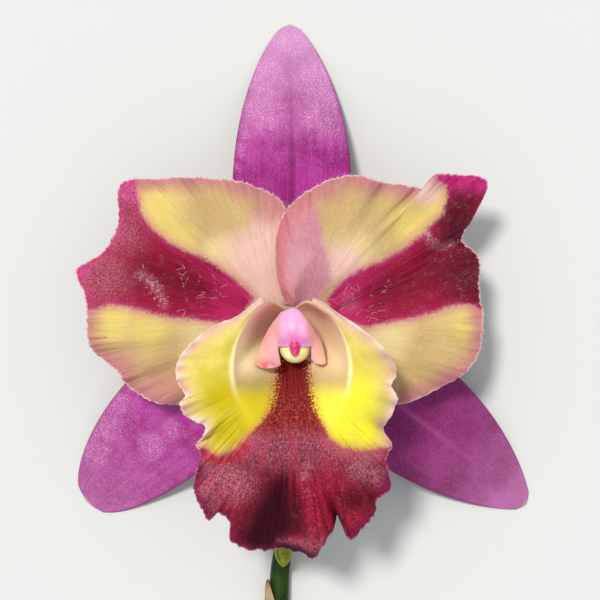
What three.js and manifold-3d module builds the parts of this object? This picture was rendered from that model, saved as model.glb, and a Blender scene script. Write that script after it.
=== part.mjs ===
// A cattleya flower, picked with a length of its stem and laid face up.
// Millimetres. +Z is up and the way the flower faces, +Y runs to the upper sepal's tip.
// The three sepal tips and the cut end of the stem rest on the surface at Z = 0.

import * as THREE from 'three';
import { mergeVertices } from 'three/addons/utils/BufferGeometryUtils.js';
import Module from 'manifold-3d';

const wasm = await Module();
wasm.setup();

// ---------- driving dimensions

const AXIS = new THREE.Vector2(0, 1.5);   // where every organ joins the ovary, in plan
const COLLAR_RADIUS = 4.3;                // sepals and petals leave the ovary this far out
const SEPAL_LEVEL = 17.6;                 // heights of the three whorls above the surface
const PETAL_LEVEL = 20.4;
const LIP_LEVEL = 22.6;
const GAP = 0.3;                          // left between pieces that nest

const SEPAL_THICKNESS = 0.8;
const SEPAL_BASE_HALF_WIDTH = 2.3;
const SEPAL_TIP_LEVEL = 0.15;             // middle of the blade, so its underside meets the surface
const SEPAL_ARCH = 1.0;                   // the blade rises this much before it falls
const SEPAL_ROLL = 1.6;                   // its sides roll back this much
const MIDRIB_GROOVE = 0.45;

const SEPALS = {
  dorsal_sepal: {
    tip: [-0.2, 70.3], leaves: 90, halfWidth: 13.3, widest: 0.42, point: 0.74, tipHalfWidth: 0.9, bow: -0.5,
  },
  left_lateral_sepal: {
    tip: [-47.1, -40.1], leaves: 220, halfWidth: 13.4, widest: 0.45, point: 0.56, tipHalfWidth: 1.6, bow: -1.3,
  },
  right_lateral_sepal: {
    tip: [54.5, -40.6], leaves: 322, halfWidth: 13.4, widest: 0.42, point: 0.82, tipHalfWidth: 1.2, bow: 0.4,
  },
};

const PETAL_THICKNESS = 0.7;
const PETAL_RISE = 3.2;                   // the blade rises to this and then droops by the next
const PETAL_DROOP = 2.2;
const PETAL_RUFFLE = 0.9;
const PETAL_FULL_REACH = 30;              // where the blade is shorter than this, it rises less
const PETAL_CALM_SPAN = 0.07;             // corners narrower than this share of the margin stay near it
const OVERLAP_FULL_REACH = 8;

// Each margin runs round the blade from the top of the flower's axis to the bottom. Folds are
// placed by their share of the way along it, and reach inward to the share "from" of the blade.
const PETALS = {
  left_petal: {
    leaves: [128, 216],
    margin: [
      [0.0, 6.0], [0.4, 14.9], [-1.1, 27.2], [-8.8, 32.1], [-18.7, 33.7], [-28.5, 33.4], [-37.5, 32.5],
      [-38.4, 23.7], [-42.1, 17.1], [-47.5, 13.2], [-45.2, 6.6], [-44.8, 0.0], [-43.2, -4.8], [-38.2, -9.0],
      [-35.5, -12.7], [-29.0, -16.2], [-19.7, -15.3], [-9.9, -8.3], [-3.9, -1.1],
    ],
    channel: { at: 0.47, width: 0.07, depth: 2.2 },
    folds: [
      { at: 0.30, width: 0.09, lift: 1.6, from: -0.4 },
      { at: 0.66, width: 0.10, lift: 1.4, from: -0.4 },
      { at: 0.42, width: 0.09, lift: -5.0, from: 0.70 },
    ],
    ruffle: { waves: 11, shift: 0.2, calmAt: 0.45 },
    overlap: 0,
  },
  right_petal: {
    leaves: [58, -36],
    margin: [
      [-1.2, 5.7], [-3.1, 13.6], [-2.6, 22.8], [0.4, 27.9], [6.2, 31.9], [13.2, 34.1], [20.9, 32.6],
      [28.5, 31.4], [31.6, 31.0], [32.0, 34.1], [37.8, 34.1], [43.5, 32.7], [41.0, 25.7], [38.4, 20.2],
      [41.9, 16.0], [41.9, 9.9], [42.5, 3.3], [42.1, -3.3], [39.5, -8.5], [32.9, -12.9], [24.1, -16.4],
      [15.4, -13.6], [7.0, -6.1], [3.1, -1.5],
    ],
    channel: { at: 0.60, width: 0.05, depth: 2.0 },
    folds: [
      { at: 0.28, width: 0.08, lift: 1.2, from: -0.4 },
      { at: 0.76, width: 0.08, lift: 1.4, from: -0.4 },
      { at: 0.40, width: 0.04, lift: 3.0, from: 0.55 },
      { at: 0.48, width: 0.04, lift: 1.8, from: 0.60 },
      { at: 0.56, width: 0.05, lift: -3.6, from: 0.50 },
    ],
    ruffle: { waves: 13, shift: 0.1, calmAt: 0.55 },
    overlap: 2.6,                         // its inner lobe passes over the other petal's
  },
};

const LIP_THICKNESS = 0.7;
const LIP_BASE_RADIUS = 3.4;
const LIP_WALL_BULGE = 0.8;
const THROAT = { x: 0.4, y: -7.9, across: 12.4, along: 15.5 };  // mouth of the tube, half-sizes
const THROAT_INSIDE_MARGIN = 0.93;        // the mouth stays inside this share of the blade
const THROAT_LEVEL = 41;
const THROAT_FRONT_RISE = 1.8;            // the mouth's front edge stands this much higher
const SIDE_LOBE_LEVEL = 39.5;
const MIDLOBE_DROOP = 8.5;
const LIP_CROWN = 1.0;
const LIP_RUFFLE = 1.4;
const LIP_WAVES = 13;
const LIP_CALM_SPAN = 0.035;

// Ridges and valleys of the front and sides, placed as the petals' folds are.
const LIP_FOLDS = [
  { at: 0.235, width: 0.020, lift: 1.2, from: 0.30 },
  { at: 0.268, width: 0.018, lift: -1.8, from: 0.25 },
  { at: 0.325, width: 0.035, lift: 1.6, from: 0.30 },
  { at: 0.405, width: 0.030, lift: 1.8, from: 0.30 },
  { at: 0.470, width: 0.040, lift: -5.0, from: 0.20 },
  { at: 0.517, width: 0.020, lift: -3.0, from: 0.88 },
  { at: 0.550, width: 0.026, lift: 3.4, from: 0.30 },
  { at: 0.602, width: 0.018, lift: -2.2, from: 0.55 },
  { at: 0.645, width: 0.022, lift: 2.6, from: 0.50 },
  { at: 0.692, width: 0.025, lift: -4.0, from: 0.35 },
  { at: 0.742, width: 0.025, lift: 2.2, from: 0.35 },
  { at: 0.788, width: 0.020, lift: -1.8, from: 0.35 },
];

// The lip's margin, from beside the column round the front and back up the other side.
const LIP_MARGIN = [
  [-5.8, 7.2], [-8.3, 5.3], [-11.3, 3.0], [-16.1, 1.1], [-20.3, -2.2], [-23.5, -6.0], [-23.8, -10.2],
  [-22.0, -13.4], [-23.1, -15.3], [-22.2, -17.8], [-19.9, -19.1], [-17.8, -20.1], [-18.4, -22.5],
  [-20.0, -24.4], [-18.9, -26.7], [-19.9, -29.8], [-20.5, -33.6], [-19.1, -37.2], [-17.4, -40.4],
  [-15.3, -38.7], [-12.8, -41.0], [-12.8, -45.2], [-9.4, -47.2], [-5.8, -47.9], [-1.8, -47.6],
  [2.2, -48.4], [5.1, -49.0], [6.9, -46.0], [9.4, -42.5], [10.2, -39.7], [11.9, -42.9], [13.1, -44.6],
  [16.1, -41.8], [18.4, -39.1], [18.8, -36.4], [21.6, -33.6], [21.2, -30.0], [20.3, -27.1], [21.6, -24.1],
  [19.9, -21.0], [21.6, -17.8], [22.7, -14.0], [21.4, -11.5], [22.6, -8.8], [20.9, -4.8], [17.4, -1.2],
  [13.1, 2.0], [9.4, 4.3], [6.8, 6.2], [4.9, 7.0],
];

const COLUMN_FOOT = { centre: [0, 1.5, 22.2], radius: 2.4 };
const COLUMN_NECK = { centre: [0.4, 1.1, 33.0], across: 3.0, along: 3.6 };
const HOOD = { centre: [0.65, 0.6, 35.0], radii: [3.3, 4.2, 4.6] };
const MANTLE = {                          // the hood's skin, which spreads into the wings at its sides
  top: 4.3, front: -3.3, leftEdge: [0.3, -2.4, -4.0, -5.1, -5.9], rightEdge: [1.3, 3.2, 4.6, 5.6, 6.5],
  crest: 39.3, crestHalfWidth: 3.2, crestDip: 1.1, wingLevel: 36.7, wingFall: 0.62, thickness: 1.4,
};
const TONGUE = { centre: [1.1, -2.9, 38.0], radii: [1.2, 2.5, 1.1] };
const WING_THICKNESS = 0.9;
const WING_HALF_WIDTH = 2.2;
const WINGS = [
  {
    inner: [[-0.6, 4.2, 33.0], [-2.0, 1.8, 36.4], [-2.5, -2.4, 36.6], [-1.9, -7.2, 35.4]],
    outer: [[-1.7, 3.9, 31.8], [-4.4, 0.1, 33.4], [-6.5, -4.2, 34.6], [-7.5, -7.2, 35.3]],
  },
  {
    inner: [[1.3, 4.4, 33.0], [3.1, 1.8, 36.4], [4.4, -2.2, 36.6], [4.8, -5.9, 35.4]],
    outer: [[1.9, 4.4, 31.8], [4.5, 1.0, 33.4], [6.6, -2.4, 34.6], [7.8, -6.8, 35.3]],
  },
];
const WING_LOBE = 0.8;                    // the free end is rounded out by this

const ANTHER_CAP = { centre: [1.1, -3.4, 34.6], radii: [3.3, 3.5, 3.2] };
const CAP_SEAT = 0.42;                    // the cap is hollowed this far off the column
const POLLINIA = { centre: [1.1, -5.3, 33.3], radii: [0.45, 0.55, 0.85], spacing: 0.72, count: 4 };

// The ovary stands under the flower, bends over and runs on as the stalk to the cut end.
const STEM_PATH = [
  [0, 1.5, 21.8], [0, 1.5, 17.5], [0, 0.2, 11.5], [0, -5, 7.2], [0, -14, 5.2], [-0.4, -28, 4.2],
  [-0.9, -40, 3.3], [-1.7, -50, 2.5], [-2.5, -57, 2.1], [-2.8, -66, 2.1],
];
const STEM_RADII = [3.5, 3.45, 2.9, 2.7, 2.5, 2.0, 1.75, 2.0, 2.2, 2.3];
const OVARY_RIBS = 6;
const RIB_DEPTH = 0.06;                   // share of the radius

const BUD = { foot: [-1.5, -47.6, 5.6], tip: [-1.6, -54.4, 9.0], radius: 2.1, footShare: 0.42 };

const BRACT_THICKNESS = 0.6;
const BRACT = { fromY: -65.9, toY: -57.6, middle: 153, spread: 55, standoff: 0.75 };  // degrees round the stalk

// ---------- curves and closed solids

const smooth = (a, b, x) => THREE.MathUtils.smoothstep(x, a, b);
const bump = (x, centre, width) => Math.exp(-(((x - centre) / width) ** 2));
const wave = (turns) => Math.sin(2 * Math.PI * turns);
const compass = (degrees) => new THREE.Vector2(1, 0).rotateAround(new THREE.Vector2(), degrees * Math.PI / 180);

function curveThrough(points) {
  const vectors = points.map(([x, y, z = 0]) => new THREE.Vector3(x, y, z));
  return new THREE.CatmullRomCurve3(vectors, false, 'catmullrom', 0.5);
}

// A margin with its corners and notches evened out, which the inner part of a blade follows.
function calmMargin(edge, span) {
  const steps = [-1, -0.5, 0, 0.5, 1];
  return (s) => {
    const near = Math.min(span, s, 1 - s);
    const calm = new THREE.Vector3();
    for (const step of steps) calm.addScaledVector(edge.getPoint(s + step * near), 1 / steps.length);
    return calm;
  };
}

function closedGeometry(points, triangles) {
  let volume = 0;
  for (let i = 0; i < triangles.length; i += 3) {
    const [a, b, c] = [points[triangles[i]], points[triangles[i + 1]], points[triangles[i + 2]]];
    volume += a.dot(new THREE.Vector3().crossVectors(b, c));
  }
  const geometry = new THREE.BufferGeometry().setFromPoints(points);
  geometry.setIndex(volume > 0 ? triangles : triangles.toReversed());
  return geometry;
}

// A thin blade: surface(s, t) is its middle, with s and t from 0 to 1. Both faces are split alike.
function blade(surface, rows, columns, thickness) {
  const step = 1e-3;
  const faces = [[], []];
  for (let i = 0; i <= rows; i++) {
    for (let j = 0; j <= columns; j++) {
      const [s, t] = [i / rows, j / columns];
      const [s0, s1] = [Math.max(s - step, 0), Math.min(s + step, 1)];
      const [t0, t1] = [Math.max(t - step, 0), Math.min(t + step, 1)];
      const alongS = surface(s1, t).sub(surface(s0, t));
      const alongT = surface(s, t1).sub(surface(s, t0));
      const half = alongS.cross(alongT).setLength(thickness / 2);
      faces[0].push(surface(s, t).add(half));
      faces[1].push(surface(s, t).sub(half));
    }
  }
  const under = (rows + 1) * (columns + 1);
  const at = (i, j) => i * (columns + 1) + j;
  const triangles = [];
  const wall = (a, b) => triangles.push(b, a, a + under, b, a + under, b + under);
  for (let i = 0; i < rows; i++) {
    for (let j = 0; j < columns; j++) {
      const [a, b, c, d] = [at(i, j), at(i + 1, j), at(i + 1, j + 1), at(i, j + 1)];
      triangles.push(a, b, c, a, c, d);
      triangles.push(c + under, b + under, a + under, d + under, c + under, a + under);
    }
    wall(at(i, 0), at(i + 1, 0));
    wall(at(i + 1, columns), at(i, columns));
  }
  for (let j = 0; j < columns; j++) {
    wall(at(0, j + 1), at(0, j));
    wall(at(rows, j), at(rows, j + 1));
  }
  return closedGeometry(faces.flat(), triangles);
}

// A round body: ring(t, angle) is a point of its skin, with t from one flat end to the other.
function limb(ring, steps, sides) {
  const points = [];
  for (let i = 0; i <= steps; i++) {
    for (let j = 0; j < sides; j++) points.push(ring(i / steps, 2 * Math.PI * j / sides));
  }
  const triangles = [];
  for (let j = 0; j < sides; j++) {
    const next = (j + 1) % sides;
    for (let i = 0; i < steps; i++) {
      const [a, b] = [i * sides + j, i * sides + next];
      triangles.push(a, b, b + sides, a, b + sides, a + sides);
    }
  }
  for (const end of [0, steps]) {
    const centre = new THREE.Vector3();
    for (let j = 0; j < sides; j++) centre.addScaledVector(points[end * sides + j], 1 / sides);
    const hub = points.push(centre) - 1;
    for (let j = 0; j < sides; j++) {
      const [a, b] = [end * sides + j, end * sides + (j + 1) % sides];
      triangles.push(...(end ? [a, b, hub] : [b, a, hub]));
    }
  }
  return closedGeometry(points, triangles);
}

function ellipsoid({ centre, radii }, extra = 0, segments = 16) {
  return new THREE.SphereGeometry(1, segments, Math.round(segments * 0.6))
    .scale(...radii.map((r) => r + extra))
    .translate(...centre);
}

function toSolid(geometry) {
  const bare = geometry.clone();
  bare.deleteAttribute('normal');
  bare.deleteAttribute('uv');
  const merged = mergeVertices(bare, 1e-4);
  return new wasm.Manifold(new wasm.Mesh({
    numProp: 3,
    vertProperties: Float32Array.from(merged.attributes.position.array),
    triVerts: Uint32Array.from(merged.index.array),
  }));
}

function toGeometry(solid) {
  const mesh = solid.getMesh();
  const geometry = new THREE.BufferGeometry();
  geometry.setAttribute('position', new THREE.BufferAttribute(mesh.vertProperties, 3));
  geometry.setIndex(new THREE.BufferAttribute(mesh.triVerts, 1));
  return geometry;
}

// Takes off what lies below the surface, which leaves a small flat spot to rest on.
function restOnSurface(geometry) {
  const ground = new THREE.BoxGeometry(300, 300, 20).translate(0, 0, -10);
  return toGeometry(toSolid(geometry).subtract(toSolid(ground)));
}

// ---------- sepals: narrow blades that arch out and come down to the surface at their tips

function sepalSurface({ tip, leaves, halfWidth, widest, point, tipHalfWidth, bow }) {
  const foot = compass(leaves).multiplyScalar(COLLAR_RADIUS).add(AXIS);
  const line = new THREE.Vector2(...tip).sub(foot);
  const across = new THREE.Vector2(-line.y, line.x).normalize();
  const fallsFrom = 0.15;
  const fallsTo = 1.03;

  function halfWidthAt(u) {
    if (u > widest) {
      const left = Math.max(1 - ((u - widest) / (1 - widest)) ** 2, 0);
      return tipHalfWidth + (halfWidth - tipHalfWidth) * left ** point;
    }
    return SEPAL_BASE_HALF_WIDTH + (halfWidth - SEPAL_BASE_HALF_WIDTH) * Math.sin(Math.PI / 2 * u / widest) ** 1.15;
  }

  return (u, t) => {
    const v = 2 * t - 1;
    const swell = Math.sin(Math.PI * u);
    const plan = foot.clone().addScaledVector(line, u).addScaledVector(across, v * halfWidthAt(u) + bow * swell);
    const fallen = smooth(fallsFrom, fallsTo, u) / smooth(fallsFrom, fallsTo, 1);
    let z = SEPAL_LEVEL + SEPAL_ARCH * Math.sin(Math.PI * Math.min(u / 0.6, 1));
    z -= (SEPAL_LEVEL - SEPAL_TIP_LEVEL) * fallen;
    z -= SEPAL_ROLL * v ** 2 * Math.max(swell, 0) ** 0.8;
    z -= MIDRIB_GROOVE * bump(v, 0, 0.12) * swell;
    return new THREE.Vector3(plan.x, plan.y, z);
  };
}

const sepalGeometry = (sepal) => restOnSurface(blade(sepalSurface(sepal), 18, 6, SEPAL_THICKNESS));

// ---------- petals: broad waved fans, each spreading from a narrow foot on the collar

function petalSurface({ leaves, margin: marginPoints, channel, folds, ruffle, overlap }) {
  const edge = curveThrough(marginPoints);
  const calm = calmMargin(edge, PETAL_CALM_SPAN);

  return (s, r) => {
    const foot = compass(THREE.MathUtils.lerp(...leaves, s)).multiplyScalar(COLLAR_RADIUS).add(AXIS);
    const margin = calm(s).lerp(edge.getPoint(s), smooth(0.35, 1, r));
    const reach = foot.distanceTo(margin);
    const plan = foot.lerp(margin, r);
    let z = PETAL_RISE * Math.sin(Math.PI / 2 * Math.min(1.3 * r, 1)) - PETAL_DROOP * r ** 3;
    z -= channel.depth * bump(s, channel.at, channel.width) * Math.max(Math.sin(Math.PI * r), 0) ** 0.8;
    for (const { at, width, lift, from } of folds) z += lift * bump(s, at, width) * smooth(from, 1, r) ** 1.5;
    const lively = smooth(0.03, 0.13, s) * (1 - bump(s, ruffle.calmAt, 0.12));
    z += PETAL_RUFFLE * r ** 4 * wave(ruffle.waves * s + ruffle.shift) * lively;
    z *= Math.min(reach / PETAL_FULL_REACH, 1);
    z += overlap * (1 - smooth(0.08, 0.30, s)) * smooth(0, 0.4, r) * Math.min(reach / OVERLAP_FULL_REACH, 1);
    return new THREE.Vector3(plan.x, plan.y, PETAL_LEVEL + z);
  };
}

const petalGeometry = (petal) => blade(petalSurface(petal), 50, 8, PETAL_THICKNESS);

// ---------- lip: a tube round the column that flares at its mouth into the frilled limb

function lipSurface() {
  const edge = curveThrough(LIP_MARGIN);
  const calm = calmMargin(edge, LIP_CALM_SPAN);
  const mouth = new THREE.Vector2(THROAT.x, THROAT.y);

  return (s, r) => {
    const margin = calm(s);
    const outward = new THREE.Vector2(margin.x, margin.y).sub(mouth);
    const reach = outward.length();
    outward.divideScalar(reach);
    const mouthReach = 1 / Math.hypot(outward.x / THROAT.across, outward.y / THROAT.along);
    const rim = mouth.clone().addScaledVector(outward, Math.min(mouthReach, THROAT_INSIDE_MARGIN * reach));
    const frontness = Math.max(-outward.y, 0);
    const rimLevel = THROAT_LEVEL + THROAT_FRONT_RISE * frontness ** 2;
    let plan;
    let z;
    if (r < 0.5) {
      const t = 2 * r;
      plan = AXIS.clone().addScaledVector(outward, LIP_BASE_RADIUS).lerp(rim, t ** 0.85);
      plan.addScaledVector(outward, LIP_WALL_BULGE * Math.sin(Math.PI * t));
      const climb = THREE.MathUtils.lerp(t ** 0.95, Math.sin(Math.PI / 2 * t), smooth(-0.1, 0.7, -outward.y));
      z = THREE.MathUtils.lerp(LIP_LEVEL, rimLevel, climb);
    } else {
      const q = 2 * r - 1;
      margin.lerp(edge.getPoint(s), smooth(0.3, 1, q));
      plan = rim.lerp(new THREE.Vector2(margin.x, margin.y), q);
      const marginLevel = SIDE_LOBE_LEVEL - MIDLOBE_DROOP * frontness ** 3;
      z = THREE.MathUtils.lerp(rimLevel, marginLevel, q ** 1.5) + LIP_CROWN * Math.sin(Math.PI * q) * (1 - frontness);
      const lively = smooth(0, 0.08, s) * (1 - smooth(0.92, 1, s));
      z += LIP_RUFFLE * q ** 2 * wave(LIP_WAVES * s + 0.25) * lively;
      for (const { at, width, lift, from } of LIP_FOLDS) z += lift * bump(s, at, width) * smooth(from, 1, q);
    }
    return new THREE.Vector3(plan.x, plan.y, z);
  };
}

const lipGeometry = () => blade(lipSurface(), 80, 10, LIP_THICKNESS);

// ---------- column: a stalk that swells into a hood, with a wing down each side and a tongue in front

function mantleSurface(extra) {
  const { top, front, leftEdge, rightEdge, crest, crestHalfWidth, crestDip, wingLevel, wingFall, thickness } = MANTLE;
  const left = curveThrough(leftEdge.map((x) => [x, 0]));
  const right = curveThrough(rightEdge.map((x) => [x, 0]));
  const opensOver = 0.55;

  return (down, v) => {
    const x = THREE.MathUtils.lerp(left.getPoint(down).x - extra, right.getPoint(down).x + extra, v);
    const y = THREE.MathUtils.lerp(top + extra, front - extra, down);
    const opened = Math.sqrt(1 - Math.max(1 - down / opensOver, 0) ** 2);
    const fromMiddle = Math.abs(x - 0.85 - 0.35 * down);
    const wingZ = wingLevel - 2.6 * (1 - opened) - wingFall * Math.max(fromMiddle - 2, 0);
    const crestZ = crest - 3.6 * (1 - opened) - crestDip * smooth(0.6, 1, down);
    const aside = fromMiddle / (crestHalfWidth * Math.max(opened, 0.15));
    return new THREE.Vector3(x, y, THREE.MathUtils.lerp(wingZ, crestZ, 1 / (1 + aside ** 4)) - thickness / 2);
  };
}

function columnSolid(extra) {
  const foot = new THREE.Vector3(...COLUMN_FOOT.centre);
  const neck = new THREE.Vector3(...COLUMN_NECK.centre);
  const stalk = limb((t, angle) => {
    const across = THREE.MathUtils.lerp(COLUMN_FOOT.radius, COLUMN_NECK.across, t) + extra;
    const along = THREE.MathUtils.lerp(COLUMN_FOOT.radius, COLUMN_NECK.along, t) + extra;
    const offset = new THREE.Vector3(across * Math.cos(angle), along * Math.sin(angle), 0);
    return foot.clone().lerp(neck, t).add(offset);
  }, 4, 16);
  let column = toSolid(stalk).add(toSolid(ellipsoid(HOOD, extra))).add(toSolid(ellipsoid(TONGUE, extra, 10)));
  column = column.add(toSolid(blade(mantleSurface(extra), 10, 14, MANTLE.thickness + 2 * extra)));
  for (const wing of WINGS) {
    const inner = curveThrough(wing.inner);
    const outer = curveThrough(wing.outer);
    const heart = inner.getPoint(0.5).lerp(outer.getPoint(0.5), 0.5);
    const surface = (u, v) => {
      const point = inner.getPoint(u).lerp(outer.getPoint(u), v);
      point.y -= WING_LOBE * Math.max(Math.sin(Math.PI * v), 0) ** 0.7 * u ** 4;
      return point.sub(heart).multiplyScalar(1 + extra / WING_HALF_WIDTH).add(heart);
    };
    column = column.add(toSolid(blade(surface, 10, 5, WING_THICKNESS + 2 * extra)));
  }
  return column;
}

// ---------- anther cap: closes the front of the column, over a recess that holds the pollinia

function antherCapGeometry() {
  const { centre, radii, spacing, count } = POLLINIA;
  const recess = new THREE.BoxGeometry(
    spacing * (count - 1) + 2 * (radii[0] + GAP), 2 * (radii[1] + GAP), 8,
  );
  recess.translate(centre[0], centre[1], centre[2] + radii[2] + GAP - 4);
  const cap = toSolid(ellipsoid(ANTHER_CAP)).subtract(columnSolid(CAP_SEAT)).subtract(toSolid(recess));
  return toGeometry(largestPiece(cap));
}

function largestPiece(solid) {
  return solid.decompose().reduce((best, piece) => (piece.volume() > best.volume() ? piece : best));
}

function polliniaGeometry() {
  const { centre, radii, spacing, count } = POLLINIA;
  const strapRadii = [spacing * (count - 1) / 2, 0.3, 0.25];
  let cluster = toSolid(ellipsoid({ centre: [centre[0], centre[1], centre[2] - 0.3], radii: strapRadii }, 0, 8));
  for (let i = 0; i < count; i++) {
    const x = centre[0] + spacing * (i - (count - 1) / 2);
    cluster = cluster.add(toSolid(ellipsoid({ centre: [x, centre[1], centre[2]], radii }, 0, 8)));
  }
  return toGeometry(cluster);
}

// ---------- stem, bud and bract

function stemRing() {
  const path = curveThrough(STEM_PATH);
  const radii = curveThrough(STEM_RADII.map((radius, i) => [i, radius]));
  return (t, angle) => {
    const tangent = path.getTangent(t);
    const sideways = new THREE.Vector3(1, 0, 0).addScaledVector(tangent, -tangent.x).normalize();
    const upward = new THREE.Vector3().crossVectors(sideways, tangent);
    const radius = radii.getPoint(t).y * (1 + RIB_DEPTH * Math.cos(OVARY_RIBS * angle) * (1 - smooth(0.6, 0.9, t)));
    return path.getPoint(t)
      .addScaledVector(sideways, radius * Math.cos(angle))
      .addScaledVector(upward, radius * Math.sin(angle));
  };
}

const stemGeometry = () => restOnSurface(limb(stemRing(), 30, 18));

function budGeometry() {
  const foot = new THREE.Vector3(...BUD.foot);
  const tip = new THREE.Vector3(...BUD.tip);
  const direction = tip.clone().sub(foot).normalize();
  const sideways = new THREE.Vector3(1, 0, 0).addScaledVector(direction, -direction.x).normalize();
  const upward = new THREE.Vector3().crossVectors(sideways, direction);
  return limb((t, angle) => {
    const swell = Math.max(Math.sin(Math.PI * t ** 0.85), 0) ** 0.75;
    const radius = BUD.radius * Math.max(swell, BUD.footShare * (1 - t), 0.12);
    return foot.clone().lerp(tip, t)
      .addScaledVector(sideways, radius * Math.cos(angle))
      .addScaledVector(upward, radius * Math.sin(angle));
  }, 10, 12);
}

function bractGeometry() {
  const path = curveThrough(STEM_PATH);
  const stalkRadius = STEM_RADII.at(-1);
  const end = path.getPoint(1);
  const start = path.getPoint(0.85);
  return blade((u, t) => {
    const y = THREE.MathUtils.lerp(BRACT.fromY, BRACT.toY, u);
    const centreX = THREE.MathUtils.mapLinear(y, end.y, start.y, end.x, start.x);
    const spread = BRACT.spread * Math.max(1 - u ** 2, 0.04);
    const around = compass(BRACT.middle + spread * (2 * t - 1)).multiplyScalar(stalkRadius + BRACT.standoff);
    return new THREE.Vector3(centreX + around.x, y, end.z + around.y);
  }, 10, 6, BRACT_THICKNESS);
}

// ---------- the flower

function piece(name, geometry, color, roughness) {
  const mesh = new THREE.Mesh(geometry, new THREE.MeshStandardMaterial({ color, roughness, metalness: 0 }));
  mesh.name = name;
  return mesh;
}

const flower = new THREE.Group();
for (const [name, sepal] of Object.entries(SEPALS)) flower.add(piece(name, sepalGeometry(sepal), 0xb23b8c, 0.55));
for (const [name, petal] of Object.entries(PETALS)) flower.add(piece(name, petalGeometry(petal), 0xe3c38d, 0.6));
flower.add(piece('lip', lipGeometry(), 0xe8d33a, 0.5));
flower.add(piece('column', toGeometry(columnSolid(0)), 0xf2b6cf, 0.45));
flower.add(piece('anther_cap', antherCapGeometry(), 0xe6e08a, 0.4));
flower.add(piece('pollinia', polliniaGeometry(), 0xe9b93a, 0.4));
flower.add(piece('stem', stemGeometry(), 0x4b7a2c, 0.5));
flower.add(piece('closed_bud', budGeometry(), 0xa9b33a, 0.5));
flower.add(piece('bract', bractGeometry(), 0xc9b48a, 0.8));

// The origin is the centre of the flower's bounding box, on the surface it lies on.
const bounds = new THREE.Box3().setFromObject(flower);
const middle = bounds.getCenter(new THREE.Vector3());
flower.position.set(-middle.x, -middle.y, -bounds.min.z);

export default flower;
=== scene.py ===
import math

import bpy
import numpy as np
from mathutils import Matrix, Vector


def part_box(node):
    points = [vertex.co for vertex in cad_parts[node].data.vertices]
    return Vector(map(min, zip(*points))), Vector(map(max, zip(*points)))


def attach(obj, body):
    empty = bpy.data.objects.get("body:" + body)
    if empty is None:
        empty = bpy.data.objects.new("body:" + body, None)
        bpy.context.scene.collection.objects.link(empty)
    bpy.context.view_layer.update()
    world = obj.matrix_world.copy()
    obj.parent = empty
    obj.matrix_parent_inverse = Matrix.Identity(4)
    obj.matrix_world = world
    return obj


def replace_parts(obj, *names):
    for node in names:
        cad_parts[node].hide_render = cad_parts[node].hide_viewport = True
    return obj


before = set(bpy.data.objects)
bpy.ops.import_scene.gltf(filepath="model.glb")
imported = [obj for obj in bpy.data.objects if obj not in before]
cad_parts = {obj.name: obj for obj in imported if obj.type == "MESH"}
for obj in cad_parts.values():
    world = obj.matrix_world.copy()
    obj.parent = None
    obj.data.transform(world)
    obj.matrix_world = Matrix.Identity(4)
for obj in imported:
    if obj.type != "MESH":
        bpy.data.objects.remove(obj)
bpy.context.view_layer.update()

# ------------------------------------------------------------------ the view
# The picked flower lies face up, so the camera looks straight down on it with the upper
# sepal at the top of the picture. Every organ is drawn in millimetres from the flower's
# own axis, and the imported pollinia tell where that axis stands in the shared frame.

MM = 0.001
POLLINIA_CENTRE = (1.1, -5.3)
pollinia_low, pollinia_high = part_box("pollinia")
AXIS_X = (pollinia_low[0] + pollinia_high[0]) / 2 / MM - POLLINIA_CENTRE[0]
AXIS_Y = (pollinia_low[1] + pollinia_high[1]) / 2 / MM - POLLINIA_CENTRE[1]


def in_frame(points):
    """Points in millimetres from the flower's axis, as metres in the shared frame."""
    return (np.asarray(points, float) + (AXIS_X, AXIS_Y, 0)) * MM


def in_scene(name, data):
    """A new object that stands in the scene."""
    made = bpy.data.objects.new(name, data)
    bpy.context.scene.collection.objects.link(made)
    return made


AIM = (2.2, 6.6)
FACE_LEVEL = 22
CAMERA_ABOVE_FACE = 420
SEEN_WIDTH = 132
SENSOR = 36
NEAREST_SEEN = 0.01

lens = bpy.data.cameras.new("view")
lens.sensor_width = SENSOR
lens.lens = SENSOR * CAMERA_ABOVE_FACE / SEEN_WIDTH
lens.clip_start = NEAREST_SEEN
camera = in_scene("view", lens)
camera.location = in_frame((*AIM, FACE_LEVEL + CAMERA_ABOVE_FACE))
bpy.context.scene.camera = camera
bpy.context.scene.view_settings.view_transform = "Standard"

# ------------------------------------------------------------------ table and light
# A plain pale table top under the flower, its size and level in metres. One soft lamp stands
# above and to the left of the upper sepal, and the pale room fills the shadows.

FLOOR_HALF_SIZE = 1.5
FLOOR_LEVEL = -0.00005
FLOOR_COLOUR = (0.60, 0.60, 0.59, 1)
FLOOR_ROUGHNESS = 0.8
LAMP_AIM = Vector((0.25, -0.31, -1.0))
LAMP_SOFTNESS = math.radians(10)
LAMP_STRENGTH = 2.7
LAMP_COLOUR = (1.0, 0.97, 0.91)
ROOM_COLOUR = (0.90, 0.95, 1.0, 1)
ROOM_STRENGTH = 0.72

floor_mesh = bpy.data.meshes.new("table_top")
floor_corners = [
    (x * FLOOR_HALF_SIZE, y * FLOOR_HALF_SIZE, FLOOR_LEVEL) for x, y in ((-1, -1), (1, -1), (1, 1), (-1, 1))]
floor_mesh.from_pydata(floor_corners, [], [(0, 1, 2, 3)])
floor = in_scene("table_top", floor_mesh)
floor_finish = bpy.data.materials.new("pale_table")
floor_finish.use_nodes = True
floor_shader = floor_finish.node_tree.nodes["Principled BSDF"]
floor_shader.inputs["Base Color"].default_value = FLOOR_COLOUR
floor_shader.inputs["Roughness"].default_value = FLOOR_ROUGHNESS
floor_mesh.materials.append(floor_finish)

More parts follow.
